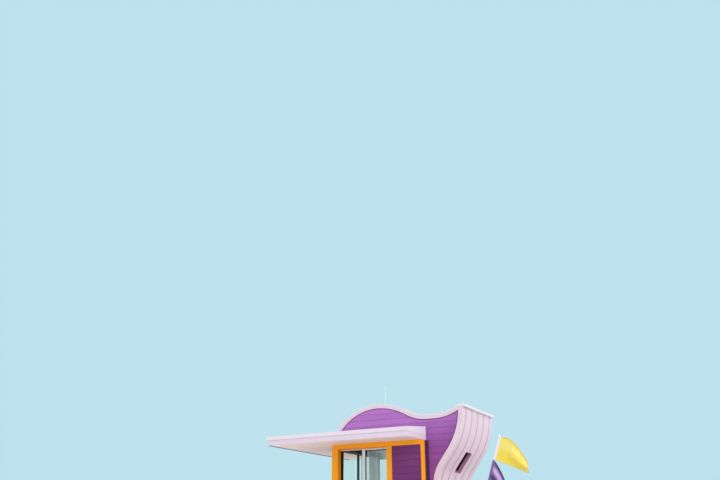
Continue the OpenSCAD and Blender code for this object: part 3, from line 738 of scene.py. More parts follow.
def smooth_path(points, step, outward, reach=0.0):
    """A smooth path through points, with normals towards outward, run on by reach at both ends."""
    directions = []
    for i, point in enumerate(points):
        before = (point - points[i - 1]).normalized() if i else Vector((0, 0))
        after = (points[i + 1] - point).normalized() if i + 1 < len(points) else Vector((0, 0))
        directions.append((before + after).normalized())
    line = []
    for i in range(len(points) - 1):
        a, b = points[i], points[i + 1]
        pull = (b - a).length / 3
        handles = (a + directions[i] * pull, b - directions[i + 1] * pull)
        count = max(2, math.ceil((b - a).length / step) + 1)
        knots = [Vector((*p, 0)) for p in (a, *handles, b)]
        line += [p.xy for p in interpolate_bezier(*knots, count)[:-1]]
    line.append(points[-1].copy())
    if reach:
        line.insert(0, line[0] - directions[0] * reach)
        line.append(line[-1] + directions[-1] * reach)
    path = []
    for i, point in enumerate(line):
        run = line[min(i + 1, len(line) - 1)] - line[max(i - 1, 0)]
        path.append((point, Vector((-run.y, run.x)).normalized()))
    side = sum(normal.dot(Vector(outward)) for _, normal in path)
    return path if side > 0 else [(point, -normal) for point, normal in path]


def skin_section(half, thick, sizes):
    """The skin's cross section as (x, depth): rounded edges and a soft groove at each seam."""
    edge = sizes.edge_round
    half_seam = sizes.seam_width / 2
    deep = sizes.seam_depth
    joint = sizes.seam_joint
    steps = 4
    top = [(-half, edge), (-half + edge * 0.3, edge * 0.3), (-half + edge, 0)]
    count = math.floor((half - sizes.seam_width) / sizes.seam_pitch)
    for i in range(-count, count + 1):
        middle = i * sizes.seam_pitch
        for k in range(-steps, steps + 1):
            low = deep * math.cos(k / steps * math.pi / 2) ** 2
            if k == 0:
                top += [(middle - joint / 2, low), (middle - joint / 2, low + joint)]
                top += [(middle + joint / 2, low + joint), (middle + joint / 2, low)]
            else:
                top.append((middle + half_seam * k / steps, low))
    top += [(half - edge, 0), (half - edge * 0.3, edge * 0.3), (half, edge)]
    return top + [(half, thick), (-half, thick)]


def ribbon(name, outward, sizes, ends):
    """The seamed skin of a curved node, cut off level with the node's own ends."""
    direction = Vector(outward)
    outer, inner = sorted(
        long_stretches(outline(name)), key=lambda run: -direction.dot(sum(run, Vector((0, 0))) / len(run))
    )
    thick = min((a - b).length for a in outer for b in inner)
    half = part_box(name)[1].x
    shape = Shape()
    shape.sweep(smooth_path(outer, sizes.skin_step, outward, 2 * thick), skin_section(half, thick, sizes))
    shape.trim(ends)
    return shape, outer, inner, thick


def painted_shade_scribes(name, finish, path, half, ends, sizes):
    """Dark strips of painted shade in the corners under the skin's overhang, along both side walls."""
    wall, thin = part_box("gable_walls")[1].x, sizes.trim_thick
    lip, root = 0.02, 0.032
    strips = Shape()
    for side in (NEAR, FAR):
        strips.sweep(path, [
            (side * (wall - thin), 0), (side * (half - thin), 0),
            (side * (half - thin), lip), (side * (wall - thin), root),
        ])
    strips.trim(ends)
    strips.piece(name, finish, smooth=True)


class TOWER_OT_wave_roof(Operator):
    """Seamed pink skin over the wave roof, with its edge trims and aerial"""

    bl_idname = "tower.wave_roof"
    bl_label = "Wave roof"

    def execute(self, context):
        sizes = context.scene.tower_sizes
        low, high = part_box("wave_roof")
        ends = [(low, (0, 0, -1)), (high, (0, 1, 0))]
        shape, outer, inner, thick = ribbon("wave_roof", (0, 1), sizes, ends)
        shape.piece("wave_roof_skin", "wave_skin", ["wave_roof"], smooth=True)
        self.edges(sizes, smooth_path(outer, sizes.skin_step, (0, 1), thick), high.x, ends)
        path = smooth_path(inner, sizes.skin_step, (0, 1), thick)
        painted_shade_scribes("gable_painted_shade_scribes", "bay_siding_painted_shade", path, high.x, ends, sizes)
        dress("white_pole", "roof_aerial")
        return {"FINISHED"}

    def edges(self, sizes, path, half, ends):
        """Trims along both edges of the roof, and the clips that join them at the crown."""
        thin, cover, drop = sizes.trim_thick, sizes.trim_cover, sizes.trim_drop
        section = [
            (half - cover, -thin), (half + thin, -thin), (half + thin, drop),
            (half, drop), (half, 0), (half - cover, 0),
        ]
        trims = Shape()
        for side in (NEAR, FAR):
            trims.sweep(path, [(side * x, depth) for x, depth in section])
        trims.trim(ends)
        trims.piece("roof_edge_trims", "eave_trim", smooth=True)

        crown = max(range(len(path)), key=lambda i: path[i][0].y)
        clips = Shape()
        grip = 2.5 * thin
        for side in (NEAR, FAR):
            clips.sweep(path[crown:crown + 2], [
                (side * (half - cover), -grip), (side * (half + grip), -grip),
                (side * (half + grip), 2 * drop), (side * (half - cover), 2 * drop),
            ])
        clips.piece("roof_edge_clips", "railing_paint")


class TOWER_OT_rear_wall(Operator):
    """Seamed pink skin of the S-curved rear wall, with its slot window and eave"""

    bl_idname = "tower.rear_wall"
    bl_label = "Rear wall"

    def execute(self, context):
        sizes = context.scene.tower_sizes
        low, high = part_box("rear_wall")
        ends = [(low, (0, 0, -1)), (high, (0, 0, 1))]
        shape, outer, inner, thick = ribbon("rear_wall", (1, 0), sizes, ends)
        cut_slot(shape.piece("rear_wall_skin", "wave_skin", ["rear_wall"], smooth=True))
        path = smooth_path(inner, sizes.skin_step, (1, 0), thick)
        painted_shade_scribes("rear_painted_shade_scribes", "corner_painted_shade", path, high.x, ends, sizes)

        dress("eave_trim", "rear_eave", bevel=sizes.edge_round)
        dress("dark_frame", "slot_frame", bevel=sizes.edge_round)
        dress("slot_glass", "slot_glass")
        return {"FINISHED"}


def cut_slot(skin):
    """Cuts the slot window's opening through the skin, as large as the slot's frame."""
    corners = {tuple(round(c, 4) for c in v.co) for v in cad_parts["slot_frame"].data.vertices}
    corners = [Vector(c) for c in corners]
    middle = sum(corners, Vector()) / len(corners)
    outermost = sorted(corners, key=lambda c: -(c - middle).length)[:8]
    edges = [other - corner for corner in outermost for other in outermost]
    through = min(
        (edge for edge in edges if abs(edge.x) < TINY and edge.length > TINY), key=lambda edge: edge.length
    )
    reach = 0.3
    beyond = through.normalized() * reach
    hull = bmesh.new()
    for corner in outermost:
        outer = 1 if (corner - middle).dot(through) > 0 else -1
        hull.verts.new(corner + beyond * outer)
    bmesh.ops.convex_hull(hull, input=hull.verts)
    data = bpy.data.meshes.new("slot_cutter")
    hull.to_mesh(data)
    hull.free()
    # The faces that the cut leaves take this darker mauve: painted shade inside the slot's reveal
    cutter = placed("slot_cutter", data, "slot_reveal")
    hole = skin.modifiers.new("slot", "BOOLEAN")
    hole.material_mode = "TRANSFER"
    hole.object = cutter
    hole.operation = "DIFFERENCE"
    hole.solver = "EXACT"
    bake(skin)
    bpy.data.objects.remove(cutter)


def bake(obj):
    """Applies an object's modifiers to its mesh."""
    view = bpy.context.evaluated_depsgraph_get()
    made = bpy.data.meshes.new_from_object(obj.evaluated_get(view))
    obj.modifiers.clear()
    old, obj.data = obj.data, made
    bpy.data.meshes.remove(old)
    obj.data.name = obj.name


def band(loop, low, high):
    """The outlines of what lies between two levels inside an outline of (y, z) points."""
    levels = sorted({low, high, *(point.y for point in loop if low < point.y < high)})
    strips, growing = [], []
    for bottom, top in zip(levels, levels[1:]):
        middle = (bottom + top) / 2
        crossings = []
        for a, b in zip(loop, loop[1:] + loop[:1]):
            if (a.y < middle) != (b.y < middle):
                crossings.append([a.x + (b.x - a.x) * (z - a.y) / (b.y - a.y) for z in (middle, bottom, top)])
        crossings.sort()
        still = []
        for left, right in zip(crossings[::2], crossings[1::2]):
            for strip in growing:
                if abs(strip[0][-1].x - left[1]) < TINY and abs(strip[1][-1].x - right[1]) < TINY:
                    break
            else:
                strip = [Vector((left[1], bottom))], [Vector((right[1], bottom))]
                strips.append(strip)
            strip[0].append(Vector((left[2], top)))
            strip[1].append(Vector((right[2], top)))
            still.append(strip)
        growing = still
    return [without_short_steps(rights + lefts[::-1], TINY) for lefts, rights in strips]


def side_boards(shape, loop, face, side, sizes, datum):
    """Horizontal boards with rebated edges on a side wall's face, cut to an outline of (y, z) points."""
    low = min(point.y for point in loop)
    high = max(point.y for point in loop)
    pitch, groove, thick = sizes.siding_pitch, sizes.siding_groove, sizes.siding_thick
    first = math.floor((low - datum) / pitch + TINY)
    last = math.ceil((high - datum) / pitch - TINY)
    for i in range(first, last):
        bottom, top = datum + i * pitch, datum + (i + 1) * pitch
        board = []
        for inset, depth in ((0, thick - groove), (groove, thick)):
            for strip in band(loop, bottom + inset, top - inset):
                board += shape.prism([(side * face, *point) for point in strip], (side * depth, 0, 0))
        shape.mark(board, 1)


def face_outline(low, high, inset=0.0):
    """The outline of a box seen along X, drawn in by an inset, as (y, z) points."""
    y0, y1, z0, z1 = low.y + inset, high.y - inset, low.z + inset, high.z - inset
    return [Vector(point) for point in ((y0, z0), (y1, z0), (y1, z1), (y0, z1))]


class TOWER_OT_siding(Operator):
    """Horizontal purple boards on every outside wall of the cabin"""

    bl_idname = "tower.siding"
    bl_label = "Siding"

    def execute(self, context):
        sizes = context.scene.tower_sizes
        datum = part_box("canopy_slab")[1].z
        gable = outline("gable_walls")
        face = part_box("gable_walls")[1].x
        rear = outline("near_rear_side_wall")
        bay_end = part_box("near_bay_posts")[1].y + 10 * TINY
        behind_bay = without_short_steps([Vector((max(point.x, bay_end), point.y)) for point in rear], TINY)
        for side, name, loop in ((NEAR, "near", behind_bay), (FAR, "far", rear)):
            arch = Shape(3 + side)
            side_boards(arch, gable, face, side, sizes, datum)
            arch.piece(name + "_gable_boards", "purple_siding")
            wall = Shape(8 + side)
            side_boards(wall, loop, face, side, sizes, datum)
            wall.piece(name + "_rear_side_boards", "purple_siding")
        self.corner(sizes, bay_end)

        panel = Shape(21)
        low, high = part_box("near_siding_panel")
        side_boards(panel, face_outline(low, high), high.x, NEAR, sizes, datum)
        panel.piece("near_panel_boards", "bay_siding_painted_shade")

        sills = Shape(22)
        for side, low, high in by_side("sill_walls"):
            face = max(high.x, -low.x)
            side_boards(sills, face_outline(low, high), face, side, sizes, datum)
        sills.piece("sill_wall_boards", "bay_siding_painted_shade")

        self.front(sizes, datum)
        dress("cabin_lining", "gable_walls", "near_rear_side_wall", "far_rear_side_wall", "near_siding_panel",
              "sill_walls", "front_wall")
        dress("floor_sheet", "cabin_floor")
        return {"FINISHED"}

    def corner(self, sizes, bay_end):
        """Dark plum strips of painted shade in the corner between the bay's end board and the wave's side
        wall.
        """
        low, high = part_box("near_rear_side_wall")
        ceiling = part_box("near_bay_posts")[1].z
        face, thin = high.x + sizes.siding_thick, 0.006
        corner = Shape(27)
        corner.block((high.x, bay_end, low.z), (high.x + sizes.corner_shade_on_board, bay_end + thin, ceiling))
        corner.block((face, bay_end + thin, low.z), (face + thin, bay_end + sizes.corner_shade_on_wall, ceiling))
        corner.piece("bay_corner_painted_shade", "corner_painted_shade", bevel=SHEET_EDGE)

    def front(self, sizes, datum):
        """Boards on the front wall, left open at the window."""
        boards = Shape(23)
        low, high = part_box("front_wall")
        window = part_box("front_window_frame")
        pitch = sizes.siding_pitch
        level = datum
        while level > low.z + TINY:
            bottom, top = max(level - pitch, low.z), min(level, high.z)
            level -= pitch
            if top < bottom + TINY:
                continue
            spans = [(low.x, high.x)]
            if top > window[0].z + TINY:
                spans = [(low.x, window[0].x), (window[1].x, high.x)]
            for left, right in spans:
                boards.block((left, low.y - sizes.siding_thick, bottom), (right, low.y, top))
        boards.piece("front_wall_boards", "bay_siding_painted_shade")


class TOWER_OT_canopy(Operator):
    """Canopy bands, soffit boards, drip edge, flashings and laps"""

    bl_idname = "tower.canopy"
    bl_label = "Canopy"

    def execute(self, context):
        sizes = context.scene.tower_sizes
        dress("canopy", "canopy_slab", bevel=sizes.edge_round)
        dress("canopy_top", "canopy_roofing", bevel=sizes.edge_round)
        self.soffit()
        self.drip_edge()
        low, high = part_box("canopy_roofing")
        self.seam_beads(high.x)

        corners = [vert.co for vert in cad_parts["canopy_roofing"].data.vertices]
        edge_z = min(co.z for co in corners if co.x > high.x - TINY and co.z > low.z + TINY)
        fall = (max(co.z for co in corners if abs(co.y - low.y) > TINY) - edge_z) / high.x
        lip = 0.03
        self.flashings(low, high, edge_z, lip)
        self.laps(sizes, low, high, edge_z, fall, lip)
        return {"FINISHED"}

    def soffit(self):
        """Boards under the canopy: one row in front of the cabin, and one along each side of it."""
        low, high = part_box("canopy_slab")
        boards = Shape(31)
        thin, joint = 0.006, 0.008
        across, along = 4, 3
        wall_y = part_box("front_header")[0].y
        wide = (high.x - low.x) / across
        for i in range(across):
            boards.block(
                (low.x + i * wide + joint, low.y + joint, low.z - thin),
                (low.x + (i + 1) * wide - joint, wall_y - joint, low.z),
            )
        run = (high.y - wall_y) / along
        spans = ((low.x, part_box("far_header")[0].x), (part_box("near_bay_header")[1].x, high.x))
        for i in range(along):
            y = (wall_y + i * run + joint, wall_y + (i + 1) * run - joint)
            for left, right in spans:
                boards.block((left + joint, y[0], low.z - thin), (right - joint, y[1], low.z))
        boards.piece("soffit_boards", "soffit", bevel=STRIP_EDGE)

    def drip_edge(self):
        """A dark strip that hangs under the canopy's front edge."""
        low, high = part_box("canopy_slab")
        drip = Shape(32)
        hang, wall = 0.022, 0.012
        drip.block((low.x + wall, low.y, low.z - hang), (high.x - wall, low.y + wall, low.z))
        drip.piece("canopy_drip_edge", "dark_frame", bevel=STRIP_EDGE)

    def seam_beads(self, roofing_x):
        """A bead where the upper band stands on the lower one, along both sides and the rear."""
        low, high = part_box("canopy_slab")
        bead = Shape(34)
        tall, proud, sunk = 0.012, 0.003, 0.001
        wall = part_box("gable_walls")[1].x
        for side in (NEAR, FAR):
            bead.block((side * high.x, low.y, high.z - tall), (side * (roofing_x - sunk), high.y, high.z))
            bead.block((side * high.x, high.y, high.z - tall), (side * wall, high.y + proud, high.z))
        bead.piece("canopy_seam_beads", "canopy", bevel=SHEET_EDGE)

    def flashings(self, low, high, edge_z, lip):
        """Flashings along the front and side edges of the canopy's top."""
        rise = 0.004
        edge = Shape(33)
        edge.block((-high.x, low.y, edge_z), (high.x, low.y + lip, edge_z + rise))
        for side in (NEAR, FAR):
            edge.block((side * (high.x - lip), low.y + lip, edge_z), (side * high.x, high.y, edge_z + rise))
        edge.piece("canopy_edge_flashings", "eave_trim", bevel=SHEET_EDGE)

    def laps(self, sizes, low, high, edge_z, fall, lip):
        """Laps that run down the three slopes of the canopy's top, up to its hips or the wave roof."""
        laps = Shape(35)
        thin, wide, shortest = 0.007, 0.045, 0.1
        wave_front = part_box("wave_roof")[0].y
        wave_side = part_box("wave_roof")[1].x
        start_z = edge_z + lip * fall
        for i in range(1, math.floor((high.y - low.y) / sizes.lap_pitch) + 1):
            y = low.y + i * sizes.lap_pitch
            inner = max(high.x - (y - low.y), wave_side if y > wave_front else 0)
            if high.x - inner < shortest:
                continue
            for side in (NEAR, FAR):
                ends = [(side * (high.x - lip), start_z), (side * inner, edge_z + (high.x - inner) * fall)]
                points = [(x, y, z) for x, z in ends] + [(x, y, z + thin) for x, z in reversed(ends)]
                laps.prism(points, (0, wide, 0), 0)
        count = math.floor((high.x - wide) / sizes.lap_pitch)
        for i in range(-count, count + 1):
            middle = i * sizes.lap_pitch
            inner = min(low.y + high.x - abs(middle), wave_front if abs(middle) < wave_side else high.y)
            ends = [(low.y + lip, start_z), (inner, edge_z + (inner - low.y) * fall)]
            x = middle - wide / 2
            points = [(x, y, z) for y, z in ends] + [(x, y, z + thin) for y, z in reversed(ends)]
            laps.prism(points, (wide, 0, 0), 1)
        laps.piece("canopy_laps", "canopy_top", bevel=STRIP_EDGE)


def ring(shape, x, y, z, width):
    """A frame of four rails between two corners, in a plane across X."""
    shape.block((x[0], y[0], z[0]), (x[1], y[1], z[0] + width))
    shape.block((x[0], y[0], z[1] - width), (x[1], y[1], z[1]))
    shape.block((x[0], y[0], z[0] + width), (x[1], y[0] + width, z[1] - width))
    shape.block((x[0], y[1] - width, z[0] + width), (x[1], y[1], z[1] - width))


def solids(name):
    """The corners of each separate solid of a node."""
    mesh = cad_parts[name].data
    keys = [tuple(round(c, 4) for c in v.co) for v in mesh.vertices]
    group = {key: {key} for key in keys}
    for face in mesh.polygons:
        corners = [keys[i] for i in face.vertices]
        for other in corners[1:]:
            one, two = group[corners[0]], group[other]
            if one is not two:
                one |= two
                for key in two:
                    group[key] = one
    found = {id(members): members for members in group.values()}
    lists = [sorted(members) for members in found.values()]
    return [[Vector(c) for c in members] for members in sorted(lists)]


def corner_box(corners):
    """The lowest and highest corner of a solid."""
    low = Vector([min(c[i] for c in corners) for i in range(3)])
    high = Vector([max(c[i] for c in corners) for i in range(3)])
    return low, high


def by_side(name):
    """Each separate solid of a node: the side it is on, and its lowest and highest corner."""
    boxes = [corner_box(corners) for corners in solids(name)]
    return [(NEAR if low.x > 0 else FAR, low, high) for low, high in boxes]


class TOWER_OT_bays(Operator):
    """Orange posts, headers and sills of both sides and the front"""

    bl_idname = "tower.bays"
    bl_label = "Posts and headers"

    def execute(self, context):
        sizes = context.scene.tower_sizes
        dress("orange_frame", "near_bay_posts", "far_posts", "near_bay_header", "far_header",
              "front_header", "window_sills", bevel=sizes.edge_round)
        self.linings()
        return {"FINISHED"}

    def linings(self):
        """Boards on the inside of the room, pale on the far posts and header, and dark on the front header
        and wall as painted shade.
        """
        thin = 0.008
        low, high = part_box("front_header")
        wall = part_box("front_wall")[1].y
        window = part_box("front_window_frame")
        # Dark boards that are painted shade inside the room, on the front window's head and beside it
        dark = Shape(24)
        dark.block((low.x, high.y, low.z - thin), (high.x, high.y + thin, high.z))
        dark.block((low.x, wall, low.z - thin), (high.x, high.y, low.z))
        dark.block((window[0].x, window[1].y, low.z - thin), (window[1].x, wall, low.z))
        dark.block((window[1].x, wall, window[0].z), (high.x, wall + thin, low.z - thin))
        dark.piece("front_wall_dark_lining", "painted_shade_lining")
        pale = Shape(25)
        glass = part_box("front_window_glass")
        jamb = glass[0].x + thin
        pale.block((window[0].x, window[1].y, window[0].z), (jamb, wall, low.z - thin))
        pale.block((jamb - thin, window[0].y + thin, glass[0].z), (jamb, window[1].y, glass[1].z))
        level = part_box("cabin_floor")[1].z
        for _, post_low, post_high in by_side("far_posts"):
            x = (post_high.x, post_high.x + thin)
            pale.block((x[0], max(post_low.y, wall), level), (x[1], post_high.y, post_high.z))
        header_low, header_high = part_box("far_header")
        x = (header_high.x, header_high.x + thin)
        pale.block((x[0], high.y + thin, header_low.z), (x[1], header_high.y, header_high.z))
        pale.piece("far_side_linings", "cabin_lining")


class TOWER_OT_side_windows(Operator):
    """Aluminium frames, sliding sashes and glass of the side windows"""

    bl_idname = "tower.side_windows"
    bl_label = "Side windows"

    def execute(self, context):
        sizes = context.scene.tower_sizes
        dress("aluminium_frame", "side_window_frames", bevel=BOARD_EDGE)
        dress("window_glass", "side_window_glass")
        sashes, beads, gaskets, sash_panes = Shape(41), Shape(42), Shape(43), Shape(45)
        width = sizes.sash_width
        behind, glass_thick, gasket_thick = 0.01, 0.005, 0.008
        for side, frame_low, frame_high in by_side("side_window_frames"):
            panes = [box[1:] for box in by_side("side_window_glass") if box[0] == side]
            front, rear = sorted(panes, key=lambda box: box[0].y)
            outer = max(frame_high.x, -frame_low.x)
            self.sash(sashes, side, rear, front[1].y, outer, (frame_low.z, frame_high.z), width)
            self.bead(beads, side, front, outer, frame_low)
            inner = side * (min(abs(rear[0].x), abs(rear[1].x)) - behind)
            sash_panes.block(
                (inner, rear[0].y, rear[0].z + width),
                (inner - side * glass_thick, rear[1].y - width, rear[1].z - width),
            )
            for (low, high), inset in ((front, 0), (rear, width)):
                face = max(abs(low.x), abs(high.x))
                y = (low.y, high.y - inset)
                z = (low.z + inset, high.z - inset)
                ring(gaskets, (side * face, side * (face + gasket_thick)), y, z, sizes.gasket_width)
        sashes.piece("side_window_sashes", "aluminium_frame", bevel=BOARD_EDGE)
        beads.piece("side_window_beads", "dark_frame", bevel=STRIP_EDGE)
        gaskets.piece("side_window_gaskets", "dark_frame")
        sash_panes.piece("side_window_sash_panes", "sash_glass")
        self.drip_caps()
        return {"FINISHED"}

    def sash(self, shape, side, pane, stile_start, face, level, width):
        """A sliding sash: thin rails at three sides of its pane, and one over the stile, with a pull."""
        low, high = pane
        inner, outer = sorted((abs(low.x), abs(high.x)))
        rail = 0.016
        for x in ((outer, outer + rail), (inner - rail, inner)):
            shape.block((side * x[0], low.y, low.z), (side * x[1], high.y, low.z + width))
            shape.block((side * x[0], low.y, high.z - width), (side * x[1], high.y, high.z))
            shape.block((side * x[0], high.y - width, low.z + width), (side * x[1], high.y, high.z - width))
        thin, rim = 0.012, 0.008
        first = (low.y + stile_start) / 2
        shape.block((side * face, first, level[0] + rim), (side * (face + thin), low.y, level[1] - rim))
        middle = (low.z + high.z) / 2
        face += thin
        pull_y, pull_half = low.y - 0.012, 0.07
        shape.block(
            (side * face, pull_y - thin, middle - pull_half),
            (side * (face + thin), pull_y, middle + pull_half),
        )

    def bead(self, shape, side, pane, face, frame_low):
        """The dark lining of the fixed light: on the frame's face and inside its opening."""
        low, high = pane
        thin = 0.004
        glass = max(abs(low.x), abs(high.x))
        shape.block((side * face, frame_low.y, frame_low.z), (side * (face + thin), low.y, high.z))
        shape.block((side * face, low.y, frame_low.z), (side * (face + thin), high.y, low.z))
        ring(shape, (side * glass, side * (face + thin)), (low.y, high.y), (low.z, high.z), thin)

    def drip_caps(self):
        """Drip caps over the side windows."""
        caps = Shape(44)
        thin, out, drop = 0.003, 0.03, 0.018
        for side, low, high in by_side("side_window_frames"):
            face = max(high.x, -low.x)
            edge = side * (face + out)
            caps.block((side * face, low.y, high.z - thin), (edge, high.y, high.z))
            caps.block((edge - side * thin, low.y, high.z - drop), (edge, high.y, high.z))
        caps.piece("side_window_drip_caps", "orange_board", bevel=SHEET_EDGE)


class TOWER_OT_front_window(Operator):
    """Dark frame and glass of the front window"""

    bl_idname = "tower.front_window"
    bl_label = "Front window"

    def execute(self, context):
        dress("dark_frame", "front_window_frame", bevel=BOARD_EDGE)
        dress("window_glass", "front_window_glass")
        return {"FINISHED"}


class TOWER_OT_far_door(Operator):
    """Boarded door of the far side, with its casing, hinges, lever and kick plate"""

    bl_idname = "tower.far_door"
    bl_label = "Far door"

    def execute(self, context):
        sizes = context.scene.tower_sizes
        boxes = [corner_box(corners) for corners in solids("far_door")]
        leaf = max(boxes, key=lambda box: (box[1] - box[0]).length)
        low, high = leaf
        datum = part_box("canopy_slab")[1].z
        boards = Shape(51)
        side_boards(boards, face_outline(low, high, 0.012), -low.x, FAR, sizes, datum)
        boards.piece("far_door_boards", "bay_siding_painted_shade")
        self.casing(sizes)
        dress("bay_siding_painted_shade", "far_door", bevel=BOARD_EDGE)
        hinges = [box for box in boxes if box is not leaf]
        self.fittings(low, high, low.x - sizes.siding_thick, hinges)
        return {"FINISHED"}

    def casing(self, sizes):
        """A board on the wall's edge beside the door."""
        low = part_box("far_rear_side_wall")[0]
        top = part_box("far_header")[1].z
        cover, thin, wide = low.x - sizes.siding_thick, 0.012, 0.09
        casing = Shape(53)
        casing.block((cover - thin, low.y, low.z), (cover, low.y + wide, top))
        casing.piece("far_door_casing", "orange_board", bevel=STRIP_EDGE)

    def fittings(self, low, high, face, hinges):
        """The lever on its plate with a lock under it, the kick plate and the hinges' knuckles."""
        fittings = Shape(52)
        handle_y, handle_z = high.y - 0.075, low.z + 1.02
        plate, half_wide, half_tall = 0.006, 0.025, 0.11
        fittings.block(
            (face - plate, handle_y - half_wide, handle_z - half_tall),
            (face, handle_y + half_wide, handle_z + half_tall),
        )
        stem, reach, lever, lever_long, sides = 0.012, 0.05, 0.01, 0.13, 16
        fittings.disc((face, handle_y, handle_z), (-1, 0, 0), stem, reach, sides)
        start = (face - reach + lever / 2, handle_y + stem, handle_z)
        fittings.disc(start, (0, -1, 0), lever, lever_long, sides)
        lock_drop, lock_proud = 0.07, 0.008
        fittings.disc((face - plate, handle_y, handle_z - lock_drop), (-1, 0, 0), stem, lock_proud, sides)
        thin, inset, kick_tall = 0.002, 0.03, 0.22
        fittings.block(
            (face - thin, low.y + inset, low.z + inset), (face, high.y - inset, low.z + kick_tall)
        )
        knuckle, knuckle_sides = 0.008, 12
        for bottom, top in hinges:
            start = (face, (bottom.y + top.y) / 2, bottom.z)
            fittings.disc(start, (0, 0, 1), knuckle, top.z - bottom.z, knuckle_sides)
        fittings.piece("far_door_fittings", "clamp_steel", bevel=SHEET_EDGE)


def deck_screw(shape, place, axis, sizes):
    """The head of a screw, flush with the timber."""
    head, sides = 0.001, 8
    shape.disc(place, axis, sizes.screw_radius, head, sides)


class TOWER_OT_deck(Operator):
    """Deck boards laid from the front to the rear of the deck"""

    bl_idname = "tower.deck"
    bl_label = "Deck boards"

    def execute(self, context):
        sizes = context.scene.tower_sizes
        low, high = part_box("deck_boards")
        joists = [corner_box(corners) for corners in solids("deck_joists")]
        thick = joists[0][1].y - min(joist_low.y for joist_low, _ in joists)
        fronts = sorted(joist_low.y for joist_low, _ in joists)
        count = math.ceil((high.x - low.x) / sizes.deck_board)
        pitch = (high.x - low.x) / count
        gap = sizes.board_gap / 2
        # Each board has one joint, over one of these joists in turn
        joint_joists = (3, 6, 8, 5)
        from_edge, sunk = 0.22, 0.0005
        boards, screws = Shape(61), Shape(62)
        for i in range(count):
            left = low.x + i * pitch + (gap if i else 0)
            right = low.x + (i + 1) * pitch - (gap if i < count - 1 else 0)
            joint = fronts[joint_joists[i % len(joint_joists)]] + thick / 2
            boards.block((left, low.y, low.z), (right, joint - gap / 2, high.z))
            boards.block((left, joint + gap / 2, low.z), (right, high.y, high.z))
            for front in fronts:
                middle = front + thick / 2
                rows = (middle - thick / 3, middle + thick / 3) if abs(middle - joint) < TINY else (middle,)
                for y in rows:
                    for part in (from_edge, 1 - from_edge):
                        x = left + (right - left) * part
                        deck_screw(screws, (x, y, high.z - sunk), (0, 0, 1), sizes)
        boards.piece("deck_planks", "decking", ["deck_boards"], bevel=BOARD_EDGE)
        screws.piece("deck_screws", "clamp_steel")
        return {"FINISHED"}


class TOWER_OT_substructure(Operator):
    """Joists, girders, legs and braces with their bolts and straps"""

    bl_idname = "tower.substructure"
    bl_label = "Substructure"

    def execute(self, context):
        sizes = context.scene.tower_sizes
        legs = ("near_legs", "middle_legs", "far_legs")
        dress("timber_x", "deck_joists", bevel=TIMBER_EDGE)
        dress("timber_y", "deck_girders", bevel=BEAM_EDGE)
        dress("timber_z", *legs, bevel=LEG_EDGE)
        dress("timber_y", "side_braces", bevel=TIMBER_EDGE)
        dress("timber_x", "end_braces", bevel=TIMBER_EDGE)

        bolts = Shape(71)
        for name, across in (("side_braces", 0), ("end_braces", 1)):
            for corners in solids(name):
                self.brace_bolts(bolts, corners, across, sizes.bolt_radius)
        bolts.piece("brace_bolts", "clamp_steel")

        straps = Shape(72)
        girder_low, girder_high = corner_box(solids("deck_girders")[0])
        girder_half = (girder_high.x - girder_low.x) / 2
        small_bolt = sizes.bolt_radius * 0.8
        for name in legs:
            for corners in solids(name):
                for side in (NEAR, FAR):
                    self.strap(straps, *corner_box(corners), side, girder_half, small_bolt)
        straps.piece("leg_straps", "clamp_steel")
        return {"FINISHED"}

    def brace_bolts(self, shape, corners, across, radius):
        """Two bolts at each end of a brace, on its outer face."""
        by_height = sorted(corners, key=lambda c: c.z)
        ends = [sum(by_height[:4], Vector()) / 4, sum(by_height[4:], Vector()) / 4]
        low, high = corner_box(corners)
        outer = high[across] if high[across] + low[across] > 0 else low[across]
        axis = Vector((0, 0, 0))
        axis[across] = math.copysign(1, outer)
        run = (ends[1] - ends[0]).normalized()
        from_end = (0.06, 0.16)
        for end, way in ((ends[0], 1), (ends[1], -1)):
            for distance in from_end:
                spot = end + run * way * distance
                spot[across] = outer
                shape.bolt(spot, axis, radius)

    def strap(self, shape, low, high, side, girder_half, radius):
        """A bent strap that ties a girder to one side of the leg under it."""
        wide, thin, down, up = 0.06, 0.004, 0.26, 0.208
        seat = 0.01
        middle = (low + high) / 2
        y0, y1 = middle.y - wide / 2, middle.y + wide / 2
        girder_x = middle.x + side * girder_half
        leg_x = middle.x + side * (high.x - low.x) / 2
        shape.block((girder_x, y0, high.z + seat), (girder_x + side * thin, y1, high.z + up))
        shape.block((leg_x, y0, high.z - down), (leg_x + side * thin, y1, high.z))
        shape.block((girder_x, y0, high.z), (leg_x + side * thin, y1, high.z + thin))
        leg_bolts, girder_bolt = (-0.07, -0.19), 0.14
        for rise in leg_bolts:
            shape.bolt((leg_x + side * thin, middle.y, high.z + rise), (side, 0, 0), radius)
        shape.bolt((girder_x + side * thin, middle.y, high.z + girder_bolt), (side, 0, 0), radius)


